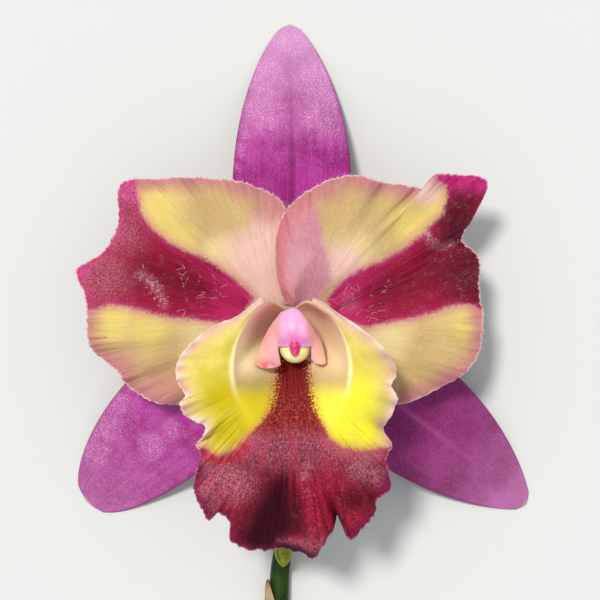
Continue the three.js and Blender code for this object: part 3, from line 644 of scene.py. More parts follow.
def petal_finish():
    finish = Finish("petal_tissue", roughness=0.58, gloss=0.1, translucency=0.4)
    around, out, stripe, rim = (finish.mark(name) for name in ("round", "out", "stripe", "rim"))
    fine_streak = finish.streaks(around, out, 190, 4)
    broad_streak = finish.streaks(around, out, 60, 3)
    bloom_streak = finish.streaks(around, out, 300, 90, 5)
    patches = finish.noise(8, 4)
    uneven = finish.noise(2.6, 3) - 0.5
    ragged = stripe + ((finish.noise(0.55, 4) - 0.5) * 1.7 + uneven * 0.8)
    wedge = ragged.fade(-0.6, 0.7)

    lilac = finish.layers(
        finish.mix(patches.fade(0.35, 0.65), (0.74, 0.46, 0.56), (0.79, 0.55, 0.64)),
        ((rim + patches * 2.0).fade(8.0, 1.5), (0.79, 0.38, 0.46)))
    cream = finish.layers(
        finish.mix(patches.fade(0.35, 0.68), (0.72, 0.63, 0.39), (0.79, 0.69, 0.47)),
        # Painted shade and light over the petal's own cream: the darker tan patches are painted shade on
        # parts turned from the lamp, and the brighter yellow patches are painted sunlight.
        (finish.area("tan", uneven) * 0.75, (0.72, 0.60, 0.41)),
        (finish.area("sunny", uneven) * 0.85, (0.83, 0.75, 0.41)),
        (finish.area("pale", uneven) * 0.8, (0.86, 0.78, 0.58)),
        (finish.area("milky", uneven) * 0.8, (0.90, 0.73, 0.73)),
        (finish.area("rosy", uneven) * 0.7, (0.72, 0.44, 0.47)),
        (finish.mark("lilac") * 0.9, lilac),
        (finish.noise(0.5, 5, rough=0.7).fade(0.48, 0.68) * 0.16, (0.85, 0.80, 0.64)),
        # Fine darker streaks, partly veining and partly painted shade in the fine radial pleats.
        (fine_streak.fade(0.46, 0.70) * 0.26, (0.66, 0.55, 0.38)),
        ((rim + fine_streak * -4.5 + patches * -3.0).fade(1.8, -3.6) * 0.8, (0.69, 0.43, 0.46)),
        (ragged.fade(-2.4, 0.2) * 0.55, (0.74, 0.43, 0.50)))

    core = (stripe + (broad_streak - 0.5) * 8.0).fade(2.2, 6.5)
    core = core * (out.fade(0.26, 0.42) * out.fade(0.96, 0.72))
    crimson = finish.layers(
        finish.mix((ragged + patches * 1.5).fade(0.4, 3.2), (0.62, 0.12, 0.34), (0.55, 0.06, 0.20)),
        (out.fade(0.52, 0.18) * 0.7, (0.75, 0.15, 0.41)),
        (rim.fade(4.0, 0.5) * finish.mark("frosted") * 0.8, (0.70, 0.17, 0.40)),
        (fine_streak.fade(0.52, 0.66) * out.fade(0.90, 0.25) * 0.6, (0.30, 0.01, 0.08)),
        (core * 0.55, (0.38, 0.03, 0.12)),
        # Painted shade: darker crimson on the outer part of the right petal's wedge, which lies away from
        # the lamp.
        (finish.area("deep", uneven) * 0.80, (0.29, 0.04, 0.11)),
        (finish.area("magenta", uneven) * 0.75, (0.71, 0.12, 0.46)),
        # Painted sheen: a pale mauve sheen over the crimson where the frosted cells catch the light, partly
        # a real frosting.
        (finish.area("frosted", uneven) * bloom_streak.fade(0.36, 0.64) * 0.62, (0.71, 0.45, 0.53)))

    # Painted glints: pale dots where light catches the crystalline cells.
    sparkle = finish.grain(0.24).fade(0.40, 0.14) * finish.noise(1.6, 5, rough=0.7).fade(0.46, 0.66)
    sparkling = (wedge * out * 0.42 + 0.06).at_least((1.0 - wedge) * 0.36)
    upper = finish.layers(
        finish.mix(wedge, cream, crimson),
        (sparkle * sparkling, finish.mix(wedge, (0.95, 0.90, 0.76), (0.84, 0.73, 0.74))),
        ((rim + finish.noise(0.35, 2)).fade(0.98, 0.50) * 0.85, (0.88, 0.75, 0.79)))
    under = finish.layers(
        finish.mix(wedge * 0.6, (0.76, 0.64, 0.53), (0.57, 0.21, 0.34)),
        (broad_streak.fade(0.45, 0.7), (0.74, 0.57, 0.53)))
    normal = finish.relief(fine_streak, 0.35, 0.55, finish.relief(broad_streak, 0.60, 0.45))
    normal = finish.relief(finish.grain(0.34), 0.12, 0.6, normal)
    return finish.done(finish.mix(finish.mark("upper"), under, upper), normal)


def limb(rings):
    """The points and faces of a closed body, from rings of points, with a face at each end."""
    rows, sides = rings.shape[:2]
    at = np.arange(rows * sides).reshape(rows, sides)
    onward = np.roll(at, -1, axis=1)
    quads = np.stack([at[:-1], onward[:-1], onward[1:], at[1:]], -1).reshape(-1, 4).tolist()
    return rings.reshape(-1, 3), quads + [at[0, ::-1].tolist(), at[-1].tolist()]


def joined(bodies):
    """Several bodies' points and faces as one list of each."""
    points = []
    faces = []
    for body_points, body_faces in bodies:
        faces += [[i + len(points) for i in face] for face in body_faces]
        points += body_points.tolist()
    return points, faces


def hair(place, heading, length, skin, chance):
    """One fine curled hair that lies on the skin from its root."""
    curl = chance.uniform(-HAIR_CURL, HAIR_CURL)
    step = length * chance.uniform(0.5, 1.3) / (HAIR_STEPS - 1)
    plan = []
    headings = []
    for i in range(HAIR_STEPS):
        plan.append(place)
        headings.append(heading)
        place = place + step * np.array([math.cos(heading), math.sin(heading)])
        heading = heading + curl + chance.normal(0, HAIR_WAVER)
    gaps = np.linalg.norm(skin[None, :, :2] - np.array(plan)[:, None], axis=-1)
    level = np.convolve(np.pad(skin[gaps.argmin(1), 2], 1, "edge"), [0.25, 0.5, 0.25], "valid")
    centre = np.column_stack([plan, level + PETAL_THICKNESS / 2 + 1.5 * HAIR_RADIUS])[:, None]
    aside = np.column_stack([-np.sin(headings), np.cos(headings), np.zeros(HAIR_STEPS)])
    upward = np.tile([0.0, 0.0, 1.0], (HAIR_STEPS, 1))
    return limb(centre + HAIR_RADIUS * np.stack([aside, upward, -aside, -upward], 1))


def hair_mesh(name, middle, spots, fringe, seed):
    """Hairs round the given spots of a blade's upper side, and a fringe on part of its margin."""
    chance = np.random.default_rng(seed)
    roots = []
    for x, y, radius, count, length in spots:
        for i in range(count):
            place = np.array([x, y]) + chance.normal(0, 0.5 * radius, 2)
            roots.append((place, chance.normal(*HAIR_HEADING), length))
    fringe_from, fringe_to, fringe_count = fringe
    for row in (np.linspace(fringe_from, fringe_to, fringe_count) * (len(middle) - 1)).astype(int):
        outward = middle[row, -1, :2] - middle[row, -6, :2]
        heading = math.atan2(outward[1], outward[0]) + chance.normal(0, 0.5)
        roots.append((middle[row, -2, :2], heading, FRINGE_LENGTH))
    skin = middle.reshape(-1, 3)
    return mesh_of(name, *joined(hair(*root, skin, chance) for root in roots), {})


def hair_finish():
    finish = Finish("petal_hair", roughness=0.4, gloss=0.5)
    tone = finish.mix(finish.noise(0.8, 2).fade(0.3, 0.7), (0.88, 0.72, 0.77), (0.97, 0.92, 0.93))
    return finish.done(tone)


petal_tissue = petal_finish()
petal_hair = hair_finish()
for petal_name, petal in PETALS.items():
    middle, marks = petal_shape(**petal)
    mesh = blade(petal_name, middle, thinned(PETAL_THICKNESS, marks["rim"]), marks)
    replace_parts(add_piece(petal_name + "_blade", mesh, petal_tissue), petal_name)
    hairs = hair_mesh(petal_name + "_hairs", middle, seed=petal["seed"], **PETAL_HAIRS[petal_name])
    add_piece(petal_name + "_hairs", hairs, petal_hair)

# ------------------------------------------------------------------ lip
# The third petal, grown as one blade: its sides stand up as a tube round the column and
# flare into two yellow lobes, and its front is a frilled crimson midlobe with a velvet skin.

LIP_LEVEL = 22.6
LIP_THICKNESS = 0.6
LIP_BASE_RADIUS = 3.4
LIP_WALL_BULGE = 0.8
THROAT = np.array([0.4, -7.9])
THROAT_ACROSS = 12.4
THROAT_ALONG = 15.5
THROAT_INSIDE_MARGIN = 0.93
THROAT_LEVEL = 41
THROAT_FRONT_RISE = 1.8
SIDE_LOBE_LEVEL = 39.5
MIDLOBE_DROOP = 8.5
LIP_CROWN = 1.0
LIP_RUFFLE = 1.4
LIP_RUFFLES = 13
LIP_CALM_SPAN = 0.035
LIP_ROWS = 600
LIP_COLUMNS = 78
KEELS_AT = (-0.95, 0.35, 1.65)
KEEL_HEIGHT = 0.30
CREST_HEIGHT = 1.5
CREST_AT = 0.89
CREST_RISES = 0.10
CREST_NARROW = 0.018
CREST_WIDENS = 0.040
# For each kind of unevenness: waves along the margin, height in millimetres, step of the seed.
LIP_WAVES = {
    "teeth": (330, 0.38, 71), "frill": (75, 0.9, 72), "crimps": (170, 1.0, 73), "ripples": (120, 0.10, 74),
    "creases": (210, 0.20, 75), "furrows": (90, 0.30, 76)}
CRIMP_HEIGHT = 0.85
# Where along the margin the turned-down edge starts, is whole, begins to flatten and ends.
FLAP_SPAN = (0.480, 0.490, 0.548, 0.562)
# Each fold of the margin: where along it, how wide, how high, and how far out it starts.
LIP_FOLDS = [
    (0.235, 0.02, 1.2, 0.3), (0.268, 0.018, -1.8, 0.25), (0.325, 0.035, 1.6, 0.3),
    (0.405, 0.03, 1.8, 0.3), (0.47, 0.04, -5.0, 0.2), (0.517, 0.02, -3.0, 0.88), (0.55, 0.026, 3.4, 0.3),
    (0.602, 0.018, -2.2, 0.55), (0.645, 0.022, 2.6, 0.5), (0.692, 0.025, -4.0, 0.35),
    (0.742, 0.025, 2.2, 0.35), (0.788, 0.02, -1.8, 0.35), (0.30, 0.008, 1.0, 0.6),
    (0.318, 0.008, -1.0, 0.6), (0.345, 0.008, 1.0, 0.6), (0.362, 0.007, -1.0, 0.6),
    (0.616, 0.007, 1.2, 0.66), (0.63, 0.007, -1.3, 0.66), (0.66, 0.008, 1.3, 0.6),
    (0.677, 0.007, -1.3, 0.6), (0.706, 0.008, 1.2, 0.6), (0.722, 0.007, -1.1, 0.6)]
LIP_MARGIN = [
    (-5.8, 7.2), (-8.3, 5.3), (-11.3, 3.0), (-16.1, 1.1), (-20.3, -2.2), (-23.5, -6.0), (-23.8, -10.2),
    (-22.0, -13.4), (-23.1, -15.3), (-22.2, -17.8), (-19.9, -19.1), (-17.8, -20.1), (-18.4, -22.5),
    (-20.0, -24.4), (-18.9, -26.7), (-19.9, -29.8), (-20.5, -33.6), (-19.1, -37.2), (-17.4, -40.4),
    (-15.3, -38.7), (-12.8, -41.0), (-12.8, -45.2), (-9.4, -47.2), (-5.8, -47.9), (-1.8, -47.6),
    (2.2, -48.4), (5.1, -49.0), (6.9, -46.0), (9.4, -42.5), (10.2, -39.7), (11.9, -42.9), (13.1, -44.6),
    (16.1, -41.8), (18.4, -39.1), (18.8, -36.4), (21.6, -33.6), (21.2, -30.0), (20.3, -27.1),
    (21.6, -24.1), (19.9, -21.0), (21.6, -17.8), (22.7, -14.0), (21.4, -11.5), (22.6, -8.8), (20.9, -4.8),
    (17.4, -1.2), (13.1, 2.0), (9.4, 4.3), (6.8, 6.2), (4.9, 7.0)]
# Painted shade: the dark hollow of the midlobe's drooping valley, which slopes away from the lamp.
SHADED_VALLEY_OUTLINE = [
    (-4.0, -31.0), (-1.0, -31.0), (0.4, -36.0), (1.8, -40.5), (1.2, -43.2), (-2.6, -45.4), (-3.4, -49.0),
    (-8.5, -49.0), (-11.0, -44.5), (-8.0, -38.0)]
CRIMSON_OUTLINE = [
    (-2.6, -2.0), (-3.2, -7.1), (-3.7, -12.8), (-4.4, -16.6), (-6.6, -19.6), (-11.2, -24.4),
    (-14.9, -25.9), (-18.4, -24.6), (-26.0, -25.5), (-28.0, -52.0), (30.0, -52.0), (28.0, -24.0),
    (20.1, -24.3), (15.1, -25.0), (11.3, -24.1), (8.5, -22.3), (7.0, -19.1), (5.9, -16.6), (5.1, -12.8),
    (4.6, -7.1), (4.2, -2.0)]
LIP_AREAS = {
    "golden": [(-13.5, -14.0, 6.0), (-9.6, -18.5, 5.5), (-13.0, -20.5, 4.5)],
    "lemon": [(13.6, -14.5, 6.4), (10.6, -20.0, 5.6), (15.5, -20.5, 3.8)],
    "bloomed": [(-15.5, -29.0, 6.0), (-11.5, -32.0, 5.2), (15.5, -28.6, 4.0), (0.3, -19.5, 2.2),
                (-17.8, -34.5, 4.0), (3.8, -27.9, 1.5), (3.2, -30.2, 1.4), (18.6, -30.5, 2.8)],
    "shaded": [(14.0, -35.6, 3.0), (17.8, -36.8, 2.8), (10.6, -40.2, 1.6)],
    "vivid": [(6.0, -33.0, 4.5), (7.5, -38.5, 4.5), (13.8, -39.8, 3.0), (-11.0, -35.0, 4.5),
              (8.5, -28.0, 3.5), (17.5, -37.5, 2.2), (-18.0, -26.2, 1.5), (-15.5, -26.8, 1.6),
              (-13.0, -26.6, 1.5), (-10.5, -25.4, 1.4)],
    "bare": [(-18.0, -26.0, 1.3), (-16.2, -26.7, 1.3), (-14.3, -27.0, 1.3), (-12.4, -26.8, 1.3),
             (-10.8, -25.8, 1.3), (-9.4, -24.2, 1.2)],
    "purple": [(-20.2, -30.5, 3.0), (-20.0, -36.5, 3.6), (15.5, -43.5, 3.0), (21.5, -33.0, 3.0)],
}


def lip_shape():
    """The middle of the lip, and the marks that its finish reads."""
    s = np.linspace(0, 1, LIP_ROWS)[:, None]
    r = np.linspace(0, 1, LIP_COLUMNS)[None, :]
    waves = waves_along(s, LIP_WAVES)
    edge = curve_through(LIP_MARGIN, s)
    calm = calm_margin(LIP_MARGIN, s, LIP_CALM_SPAN)
    outward = calm - THROAT
    reach = np.linalg.norm(outward, axis=-1)
    outward = outward / reach[..., None]
    mouth_reach = 1 / np.hypot(outward[..., 0] / THROAT_ACROSS, outward[..., 1] / THROAT_ALONG)
    mouth_reach = np.minimum(mouth_reach, THROAT_INSIDE_MARGIN * reach)
    rim = THROAT + outward * mouth_reach[..., None]
    front = np.maximum(-outward[..., 1], 0)
    rim_level = THROAT_LEVEL + THROAT_FRONT_RISE * front ** 2

    t = np.clip(2 * r, 0, 1)
    base = AXIS + outward * LIP_BASE_RADIUS
    wall = base + (rim - base) * (t ** 0.85)[..., None] + outward * (LIP_WALL_BULGE * swell(t))[..., None]
    gentle = smooth(-0.1, 0.7, -outward[..., 1])
    climb = t ** 0.95 * (1 - gentle) + np.sin(np.pi / 2 * t) * gentle
    wall_z = LIP_LEVEL + (rim_level - LIP_LEVEL) * climb

    q = np.clip(2 * r - 1, 0, 1)
    teeth = 1 + waves["teeth"] / reach * smooth(0.85, 1, q)
    goal = calm + (edge - calm) * smooth(0.3, 1, q)[..., None]
    flare = rim + (goal - rim) * (q * teeth)[..., None]
    margin_level = SIDE_LOBE_LEVEL - MIDLOBE_DROOP * front ** 3
    flare_z = rim_level + (margin_level - rim_level) * q ** 1.5 + LIP_CROWN * swell(q) * (1 - front)
    frill = LIP_RUFFLE * np.sin(2 * np.pi * (LIP_RUFFLES * s + 0.25)) * q ** 2
    frill = frill + waves["frill"] * q ** 3 + CRIMP_HEIGHT * waves["crimps"] * q ** 6
    flare_z = flare_z + frill * smooth(0, 0.08, s) * (1 - smooth(0.92, 1, s))
    for at, width, lift, start in LIP_FOLDS:
        flare_z = flare_z + lift * bump(s, at, width) * smooth(start, 1, q)
    starts, whole, flattens, ends = FLAP_SPAN
    curl = smooth(starts, whole, s) * smooth(ends, flattens, s)
    crest_at = CREST_AT + 0.02 * bump(s, 0.485, 0.01) + CREST_RISES * smooth(0.525, 0.552, s)
    crest_width = CREST_NARROW + CREST_WIDENS * smooth(0.490, 0.535, s)
    flare_z = flare_z + CREST_HEIGHT * curl * bump(q, crest_at, 0.05) + waves["ripples"] * swell(q) * gentle
    keels = sum(bump(flare[..., 0], x, 0.35) for x in KEELS_AT)
    flare_z = flare_z + KEEL_HEIGHT * keels * swell(np.clip(q * 1.3, 0, 1)) * smooth(0.7, 0.95, front)
    creases = waves["creases"] + waves["furrows"]
    flare_z = flare_z + creases * swell(np.clip(q * 0.8, 0, 1)) * smooth(0.2, 0.6, front)

    plan = np.where((r < 0.5)[..., None], wall, flare)
    marks = {
        "round": s, "out": r, "crimson": distance_inside(plan, CRIMSON_OUTLINE),
        "rim": np.linalg.norm(goal - rim, axis=-1) * (1 - q),
        "sideways": plan[..., 0], "upward": plan[..., 1], "crimp": waves["crimps"] * q ** 8,
        "crest": curl * bump(q, crest_at - 0.6 * crest_width, crest_width),
        "turned_down": curl * smooth(crest_at + 0.01, crest_at + 0.04, q),
        "valley": smooth(-3.6, 2.4, distance_inside(plan, SHADED_VALLEY_OUTLINE)),
    }
    marks.update({area: closeness(plan, spots) for area, spots in LIP_AREAS.items()})
    return np.dstack([plan, np.where(r < 0.5, wall_z, flare_z)]), marks


def lip_finish():
    finish = Finish("lip_tissue", roughness=0.7, gloss=0.08, translucency=0.45)
    around, out, rim, sideways, upward = (
        finish.mark(name) for name in ("round", "out", "rim", "sideways", "upward"))
    crimp, bare = finish.mark("crimp"), finish.mark("bare")
    patches = finish.noise(6, 3)
    fuzz = finish.noise(0.5, 3)
    uneven = finish.noise(2.0, 3) - 0.5
    streak = finish.streaks(around, out, 170, 4)
    broad_streak = finish.streaks(around, out, 34, 5, 4)
    bloom_streak = finish.streaks(around, out, 300, 60, 6)

    yellow = finish.layers(
        finish.mix(patches.fade(0.38, 0.62), (0.79, 0.73, 0.29), (0.86, 0.79, 0.42)),
        (finish.area("golden", uneven), (0.74, 0.67, 0.09)),
        (finish.area("lemon", uneven) * 0.92, (0.90, 0.86, 0.20)),
        ((rim + patches * 3.0).fade(6.5, 2.6) * 0.8, (0.82, 0.74, 0.46)),
        ((rim + streak * -2.4).fade(1.4, -0.8), (0.84, 0.68, 0.61)),
        # Painted shade in the valleys of the margin's crimps and painted light on their crests.
        (crimp.fade(-0.05, -0.55) * 0.55, (0.76, 0.55, 0.40)),
        (crimp.fade(0.05, 0.50) * 0.55, (0.94, 0.86, 0.72)))
    # The tube's wall is darker low down and lightest, with a salmon tint, near its rim: partly its own tone,
    # partly painted shade deep in the tube and painted glow where light comes through the thin wall.
    wall = finish.layers(
        finish.mix(upward.fade(-12, -6), (0.69, 0.61, 0.41), (1.0, 0.92, 0.74)),
        (upward.fade(-5, 3), (1.0, 0.78, 0.73)),
        (sideways.fade(3, 7) * 0.5, (0.80, 0.68, 0.50)),
        (upward.fade(-9.5, -15), finish.mix(sideways.fade(-5, 4), (0.80, 0.73, 0.14), (0.92, 0.88, 0.28))))
    # Painted highlight: a pale line along the fold where the tube's wall turns into the lobes.
    ridge = abs(out - 0.5).fade(0.05, 0.0)

    dots = (finish.grain(0.38) - 0.40) * upward.fade(-21, -15)
    ragged = finish.mark("crimson") + (fuzz - 0.5) * 1.8 - dots * 3.4
    red = ragged.fade(-0.4, 0.6)
    band = finish.layers(
        finish.mix(streak.fade(0.36, 0.66), (0.38, 0.06, 0.08), (0.52, 0.15, 0.15)),
        (ragged.fade(1.6, -0.4), (0.51, 0.17, 0.12)),
        (fuzz.fade(0.48, 0.66) * upward.fade(-8, -19), (0.66, 0.28, 0.25)))
    haze = finish.noise(3.4, 6, rough=0.7).fade(0.54, 0.80).at_least(finish.area("bloomed", uneven))
    haze = haze.at_least(upward.fade(-19, -22) * upward.fade(-32, -25) * 0.58) * (1.0 - bare * 0.95)
    glint = (haze + 0.45) * finish.noise(0.5, 2).fade(0.46, 0.64)
    velvet = finish.layers(
        finish.mix(broad_streak.fade(0.36, 0.66), (0.41, 0.05, 0.12), (0.58, 0.11, 0.23)),
        # Brighter crimson, partly the tissue's own saturated fold lines and partly painted light on the
        # midlobe's slopes that face the lamp.
        (finish.area("vivid", uneven) * 0.75, (0.62, 0.07, 0.20)),
        (finish.noise(0.40, 4, rough=0.7).fade(0.48, 0.66) * 0.40, (0.34, 0.02, 0.10)),
        (ragged.fade(3.6, 0.4) * upward.fade(-19, -23) * 0.55, (0.80, 0.36, 0.40)),
        (bare * 0.85, (0.62, 0.02, 0.15)),
        (streak.fade(0.5, 0.70) * 0.45, (0.31, 0.02, 0.08)),
        (haze * bloom_streak.fade(0.30, 0.70) * 0.9, (0.68, 0.41, 0.48)),
        (glint * finish.grain(0.26).fade(0.50, 0.18) * 0.65, (0.88, 0.65, 0.69)))
    crimson = finish.layers(
        finish.mix(upward.fade(-18, -24), band, velvet),
        # Painted shade in the midlobe's folds and in its valley.
        (finish.area("shaded", uneven) * 0.6, (0.26, 0.01, 0.06)),
        (finish.mark("valley") * 0.92, (0.16, 0.00, 0.04)),
        (finish.area("purple", uneven) * 0.75, (0.48, 0.08, 0.29)),
        (rim.fade(2.4, 0.3) * 0.5, (0.49, 0.10, 0.28)),
        # Painted shade on the turned-down edge of the midlobe, which faces away from the lamp.
        (finish.mark("turned_down"), (0.22, 0.00, 0.09)),
        # Painted highlight along the crest where the midlobe's edge turns down.
        (finish.mark("crest") * finish.noise(0.6, 4).fade(0.35, 0.62) * 0.45, (0.72, 0.42, 0.52)),
        (abs(sideways - 0.35).fade(0.35, 0.05) * upward.fade(-40, -32) * 0.30, (0.58, 0.06, 0.11)))

    inner = finish.layers(
        finish.mix(out.fade(0.57, 0.47), yellow, wall),
        (ridge * 0.7 * upward.fade(-16, -8), (0.98, 0.92, 0.70)),
        (ragged.fade(-1.9, 0.4) * 0.55, (0.73, 0.40, 0.29)),
        (red, crimson),
        ((rim + fuzz * 0.8).fade(0.95, 0.50) * 0.9, finish.mix(red, (0.93, 0.83, 0.79), (0.70, 0.42, 0.54))))
    outer = finish.mix(red * 0.75, (0.79, 0.70, 0.52), (0.51, 0.17, 0.31))
    normal = finish.relief(finish.grain(0.36), 0.13, 0.6, finish.relief(streak, 0.30, 0.4))
    return finish.done(finish.mix(finish.mark("upper"), outer, inner), normal)


lip_middle, lip_marks = lip_shape()
lip_mesh = blade("lip", lip_middle, thinned(LIP_THICKNESS, lip_marks["rim"]), lip_marks)
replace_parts(add_piece("lip_blade", lip_mesh, lip_finish()), "lip")

# ------------------------------------------------------------------ column
# The waxy organ in the throat, where the stamen and style have grown together: a stalk that
# swells into a pink hood, a peach wing down each side, and a magenta tongue over the cap.

COLUMN_FOOT = np.array([0, 1.5, 22.2])
COLUMN_FOOT_RADIUS = 2.4
COLUMN_NECK = np.array([0.4, 1.1, 33.0])
COLUMN_NECK_RADII = (3.0, 3.6)
STALK_GRID = (30, 48)
HOOD_CENTRE = (0.65, 0.6, 35.0)
HOOD_RADII = (3.3, 4.2, 4.6)
TONGUE_CENTRE = (1.1, -2.9, 38.0)
TONGUE_RADII = (1.2, 2.5, 1.1)
HOOD_TOP = 4.3
HOOD_FRONT = -3.3
HOOD_HALF_WIDTH = 3.2
HOOD_CREST = 39.3
HOOD_BACK_DROP = 3.6
HOOD_BROW_DROP = 1.1
MANTLE_THICKNESS = 1.4
MANTLE_OPENS_OVER = 0.55
MANTLE_GRID = (60, 70)
# How far across the mantle's two sides stand, from its top down to its front.
MANTLE_LEFT = [[0.3], [-2.4], [-4.0], [-5.1], [-5.9]]
MANTLE_RIGHT = [[1.3], [3.2], [4.6], [5.6], [6.5]]
WING_LEVEL = 36.7
WING_FALL = 0.62
WING_FALLS_FROM = 2.0
WING_TUCK = 2.6
WING_THICKNESS = 0.8
WING_LOBE = 0.8
WING_CROWN = 0.35
WING_GRID = (60, 30)
WINGS = [
    dict(
        inner=[(-0.6, 4.2, 33.0), (-2.0, 1.8, 36.4), (-2.5, -2.4, 36.6), (-1.9, -7.2, 35.4)],
        outer=[(-1.7, 3.9, 31.8), (-4.4, 0.1, 33.4), (-6.5, -4.2, 34.6), (-7.5, -7.2, 35.3)]),
    dict(
        inner=[(1.3, 4.4, 33.0), (3.1, 1.8, 36.4), (4.4, -2.2, 36.6), (4.8, -5.9, 35.4)],
        outer=[(1.9, 4.4, 31.8), (4.5, 1.0, 33.4), (6.6, -2.4, 34.6), (7.8, -6.8, 35.3)]),
]
COLUMN_VOXEL = 0.15
COLUMN_SMOOTHING = 9


def ellipsoid(centre, radii, steps=40, sides=56):
    lean = np.linspace(0, np.pi, steps)[:, None]
    turn = np.linspace(0, 2 * np.pi, sides, endpoint=False)[None, :]
    level = np.cos(lean) * np.ones_like(turn)
    unit = np.stack([np.sin(lean) * np.cos(turn), np.sin(lean) * np.sin(turn), level], -1)
    return limb(np.array(centre) + unit * radii)


def wing_body(inner, outer):
    """A flat wing between its inner and outer edge, with a rounded lobe at its end."""
    u = np.linspace(0, 1, WING_GRID[0])[:, None]
    v = np.linspace(0, 1, WING_GRID[1])[None, :]
    near = curve_through(inner, u)
    far = curve_through(outer, u)
    middle = near + (far - near) * v[..., None]
    middle[..., 1] -= WING_LOBE * swell(v) ** 0.7 * u ** 4
    middle[..., 2] += WING_CROWN * swell(v) * u
    return blade_body(middle, WING_THICKNESS)


def mantle_body():
    """The skin of the hood, which spreads into the wings at its sides."""
    y = np.linspace(HOOD_TOP, HOOD_FRONT, MANTLE_GRID[0])[:, None]
    v = np.linspace(0, 1, MANTLE_GRID[1])[None, :]
    down = (HOOD_TOP - y) / (HOOD_TOP - HOOD_FRONT)
    left = curve_through(MANTLE_LEFT, down)[..., 0]
    right = curve_through(MANTLE_RIGHT, down)[..., 0]
    x = left + (right - left) * v
    opening = np.minimum(down / MANTLE_OPENS_OVER, 1)
    opened = np.sqrt(1 - (1 - opening) ** 2)
    from_middle = np.abs(x - 0.85 - 0.35 * down)
    aside = from_middle / (HOOD_HALF_WIDTH * np.maximum(opened, 0.15))
    wing_z = WING_LEVEL - WING_TUCK * (1 - opened) - WING_FALL * np.maximum(from_middle - WING_FALLS_FROM, 0)
    crest_z = HOOD_CREST - HOOD_BACK_DROP * (1 - opened) - HOOD_BROW_DROP * smooth(0.6, 1.0, down)
    z = wing_z + (crest_z - wing_z) / (1 + aside ** 4) - MANTLE_THICKNESS / 2
    return blade_body(np.dstack([x, y + 0 * v, z]), MANTLE_THICKNESS)


def column_stalk():
    """The stalk, round at its foot and oval under the hood."""
    t = np.linspace(0, 1, STALK_GRID[0])[:, None]
    turn = np.linspace(0, 2 * np.pi, STALK_GRID[1], endpoint=False)[None, :]
    across, along = (COLUMN_FOOT_RADIUS + (radius - COLUMN_FOOT_RADIUS) * t for radius in COLUMN_NECK_RADII)
    offset = np.stack([across * np.cos(turn), along * np.sin(turn), 0 * t * turn], -1)
    return limb(COLUMN_FOOT + t[..., None] * (COLUMN_NECK - COLUMN_FOOT) + offset)


def fused(name, bodies, voxel, rounds):
    """Several closed bodies grown into one smooth skin."""
    points, faces = joined(bodies)
    rough = mesh_of(name + "_rough", points, faces, {})
    holder = in_scene(name + "_rough", rough)
    skin = holder.modifiers.new("skin", "REMESH")
    skin.mode = "VOXEL"
    skin.voxel_size = voxel * MM
    soften = holder.modifiers.new("soften", "SMOOTH")
    soften.iterations = rounds
    soften.factor = 0.5
    ready = holder.evaluated_get(bpy.context.evaluated_depsgraph_get())
    mesh = bpy.data.meshes.new_from_object(ready)
    mesh.name = name
    bpy.data.objects.remove(holder)
    bpy.data.meshes.remove(rough)
    return mesh


def plan_marks(mesh, formulas):
    """Marks worked out from where each point lies, in millimetres from the flower's axis."""
    flat = np.empty(len(mesh.vertices) * 3)
    mesh.vertices.foreach_get("co", flat)
    x, y, z = (flat.reshape(-1, 3) / MM - (AXIS_X, AXIS_Y, 0)).T
    for mark, formula in formulas.items():
        layer = mesh.attributes.new(mark, "FLOAT", "POINT")
        layer.data.foreach_set("value", formula(x, y, z).astype(np.float32))


def column_finish():
    finish = Finish("column_wax", roughness=0.36, coat=0.08, translucency=0.18)
    mottle = finish.noise(1.6, 4)
    tongue_red = finish.mix(finish.noise(0.6, 4).fade(0.4, 0.6), (0.86, 0.28, 0.54), (0.70, 0.12, 0.36))
    tone = finish.layers(
        finish.mix(mottle.fade(0.2, 0.8), (0.90, 0.62, 0.78), (0.92, 0.69, 0.83)),
        (finish.mark("wing") * 0.9, (0.87, 0.63, 0.62)),
        (finish.mark("wing_edge") * 0.7, (0.86, 0.70, 0.56)),
        (finish.mark("brow") * 0.85, (0.90, 0.38, 0.68)),
        (finish.mark("violet") * 0.6, (0.74, 0.36, 0.74)),
        (finish.mark("blush") * mottle.fade(0.30, 0.55), (0.79, 0.33, 0.39)),
        (finish.mark("tongue"), tongue_red),
        (finish.mark("height").fade(33, 29), (0.73, 0.69, 0.47)))
    return finish.done(tone, finish.relief(finish.noise(0.5, 3), 0.08, 0.3))


mantle = mantle_body()
column_bodies = [
    column_stalk(), ellipsoid(HOOD_CENTRE, HOOD_RADII), ellipsoid(TONGUE_CENTRE, TONGUE_RADII), mantle,
    *(wing_body(**wing) for wing in WINGS)]
column_mesh = fused("column", column_bodies, COLUMN_VOXEL, COLUMN_SMOOTHING)
plan_marks(column_mesh, {
    "wing": lambda x, y, z: smooth(2.2, 3.8, np.abs(x - 1.0 + 0.14 * (y + 1))),
    "wing_edge": lambda x, y, z: smooth(4.6, 6.2, np.abs(x - 0.3) - 0.2 * (y + 5)),
    "brow": lambda x, y, z: bump(np.hypot((x - 1.0) / 1.3, y + 1.6), 0, 1.5) * smooth(34.5, 36, z),
    "violet": lambda x, y, z: (
        bump(np.hypot(np.abs(x - 0.9) - 2.2, (y + 2.4) / 0.9), 0, 1.2) * smooth(34.5, 36, z)),
    "tongue": lambda x, y, z: (
        smooth(1.35, 0.65, np.hypot((x - 1.1) / 1.25, (y + 3.7) / 1.9)) * smooth(36.2, 37.2, z)),
    "blush": lambda x, y, z: bump(np.hypot((x + 5.4) / 1.9, (y + 7.5) / 0.9), 0, 1.6),
    "height": lambda x, y, z: z,
})
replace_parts(add_piece("column_body", column_mesh, column_finish()), "column")

# ------------------------------------------------------------------ anther cap and pollinia
# A loose waxy cap of pale yellow tissue closes the column's end, held only at its hinge. It
# covers four waxy golden pollen masses, which lie side by side on a short strap.

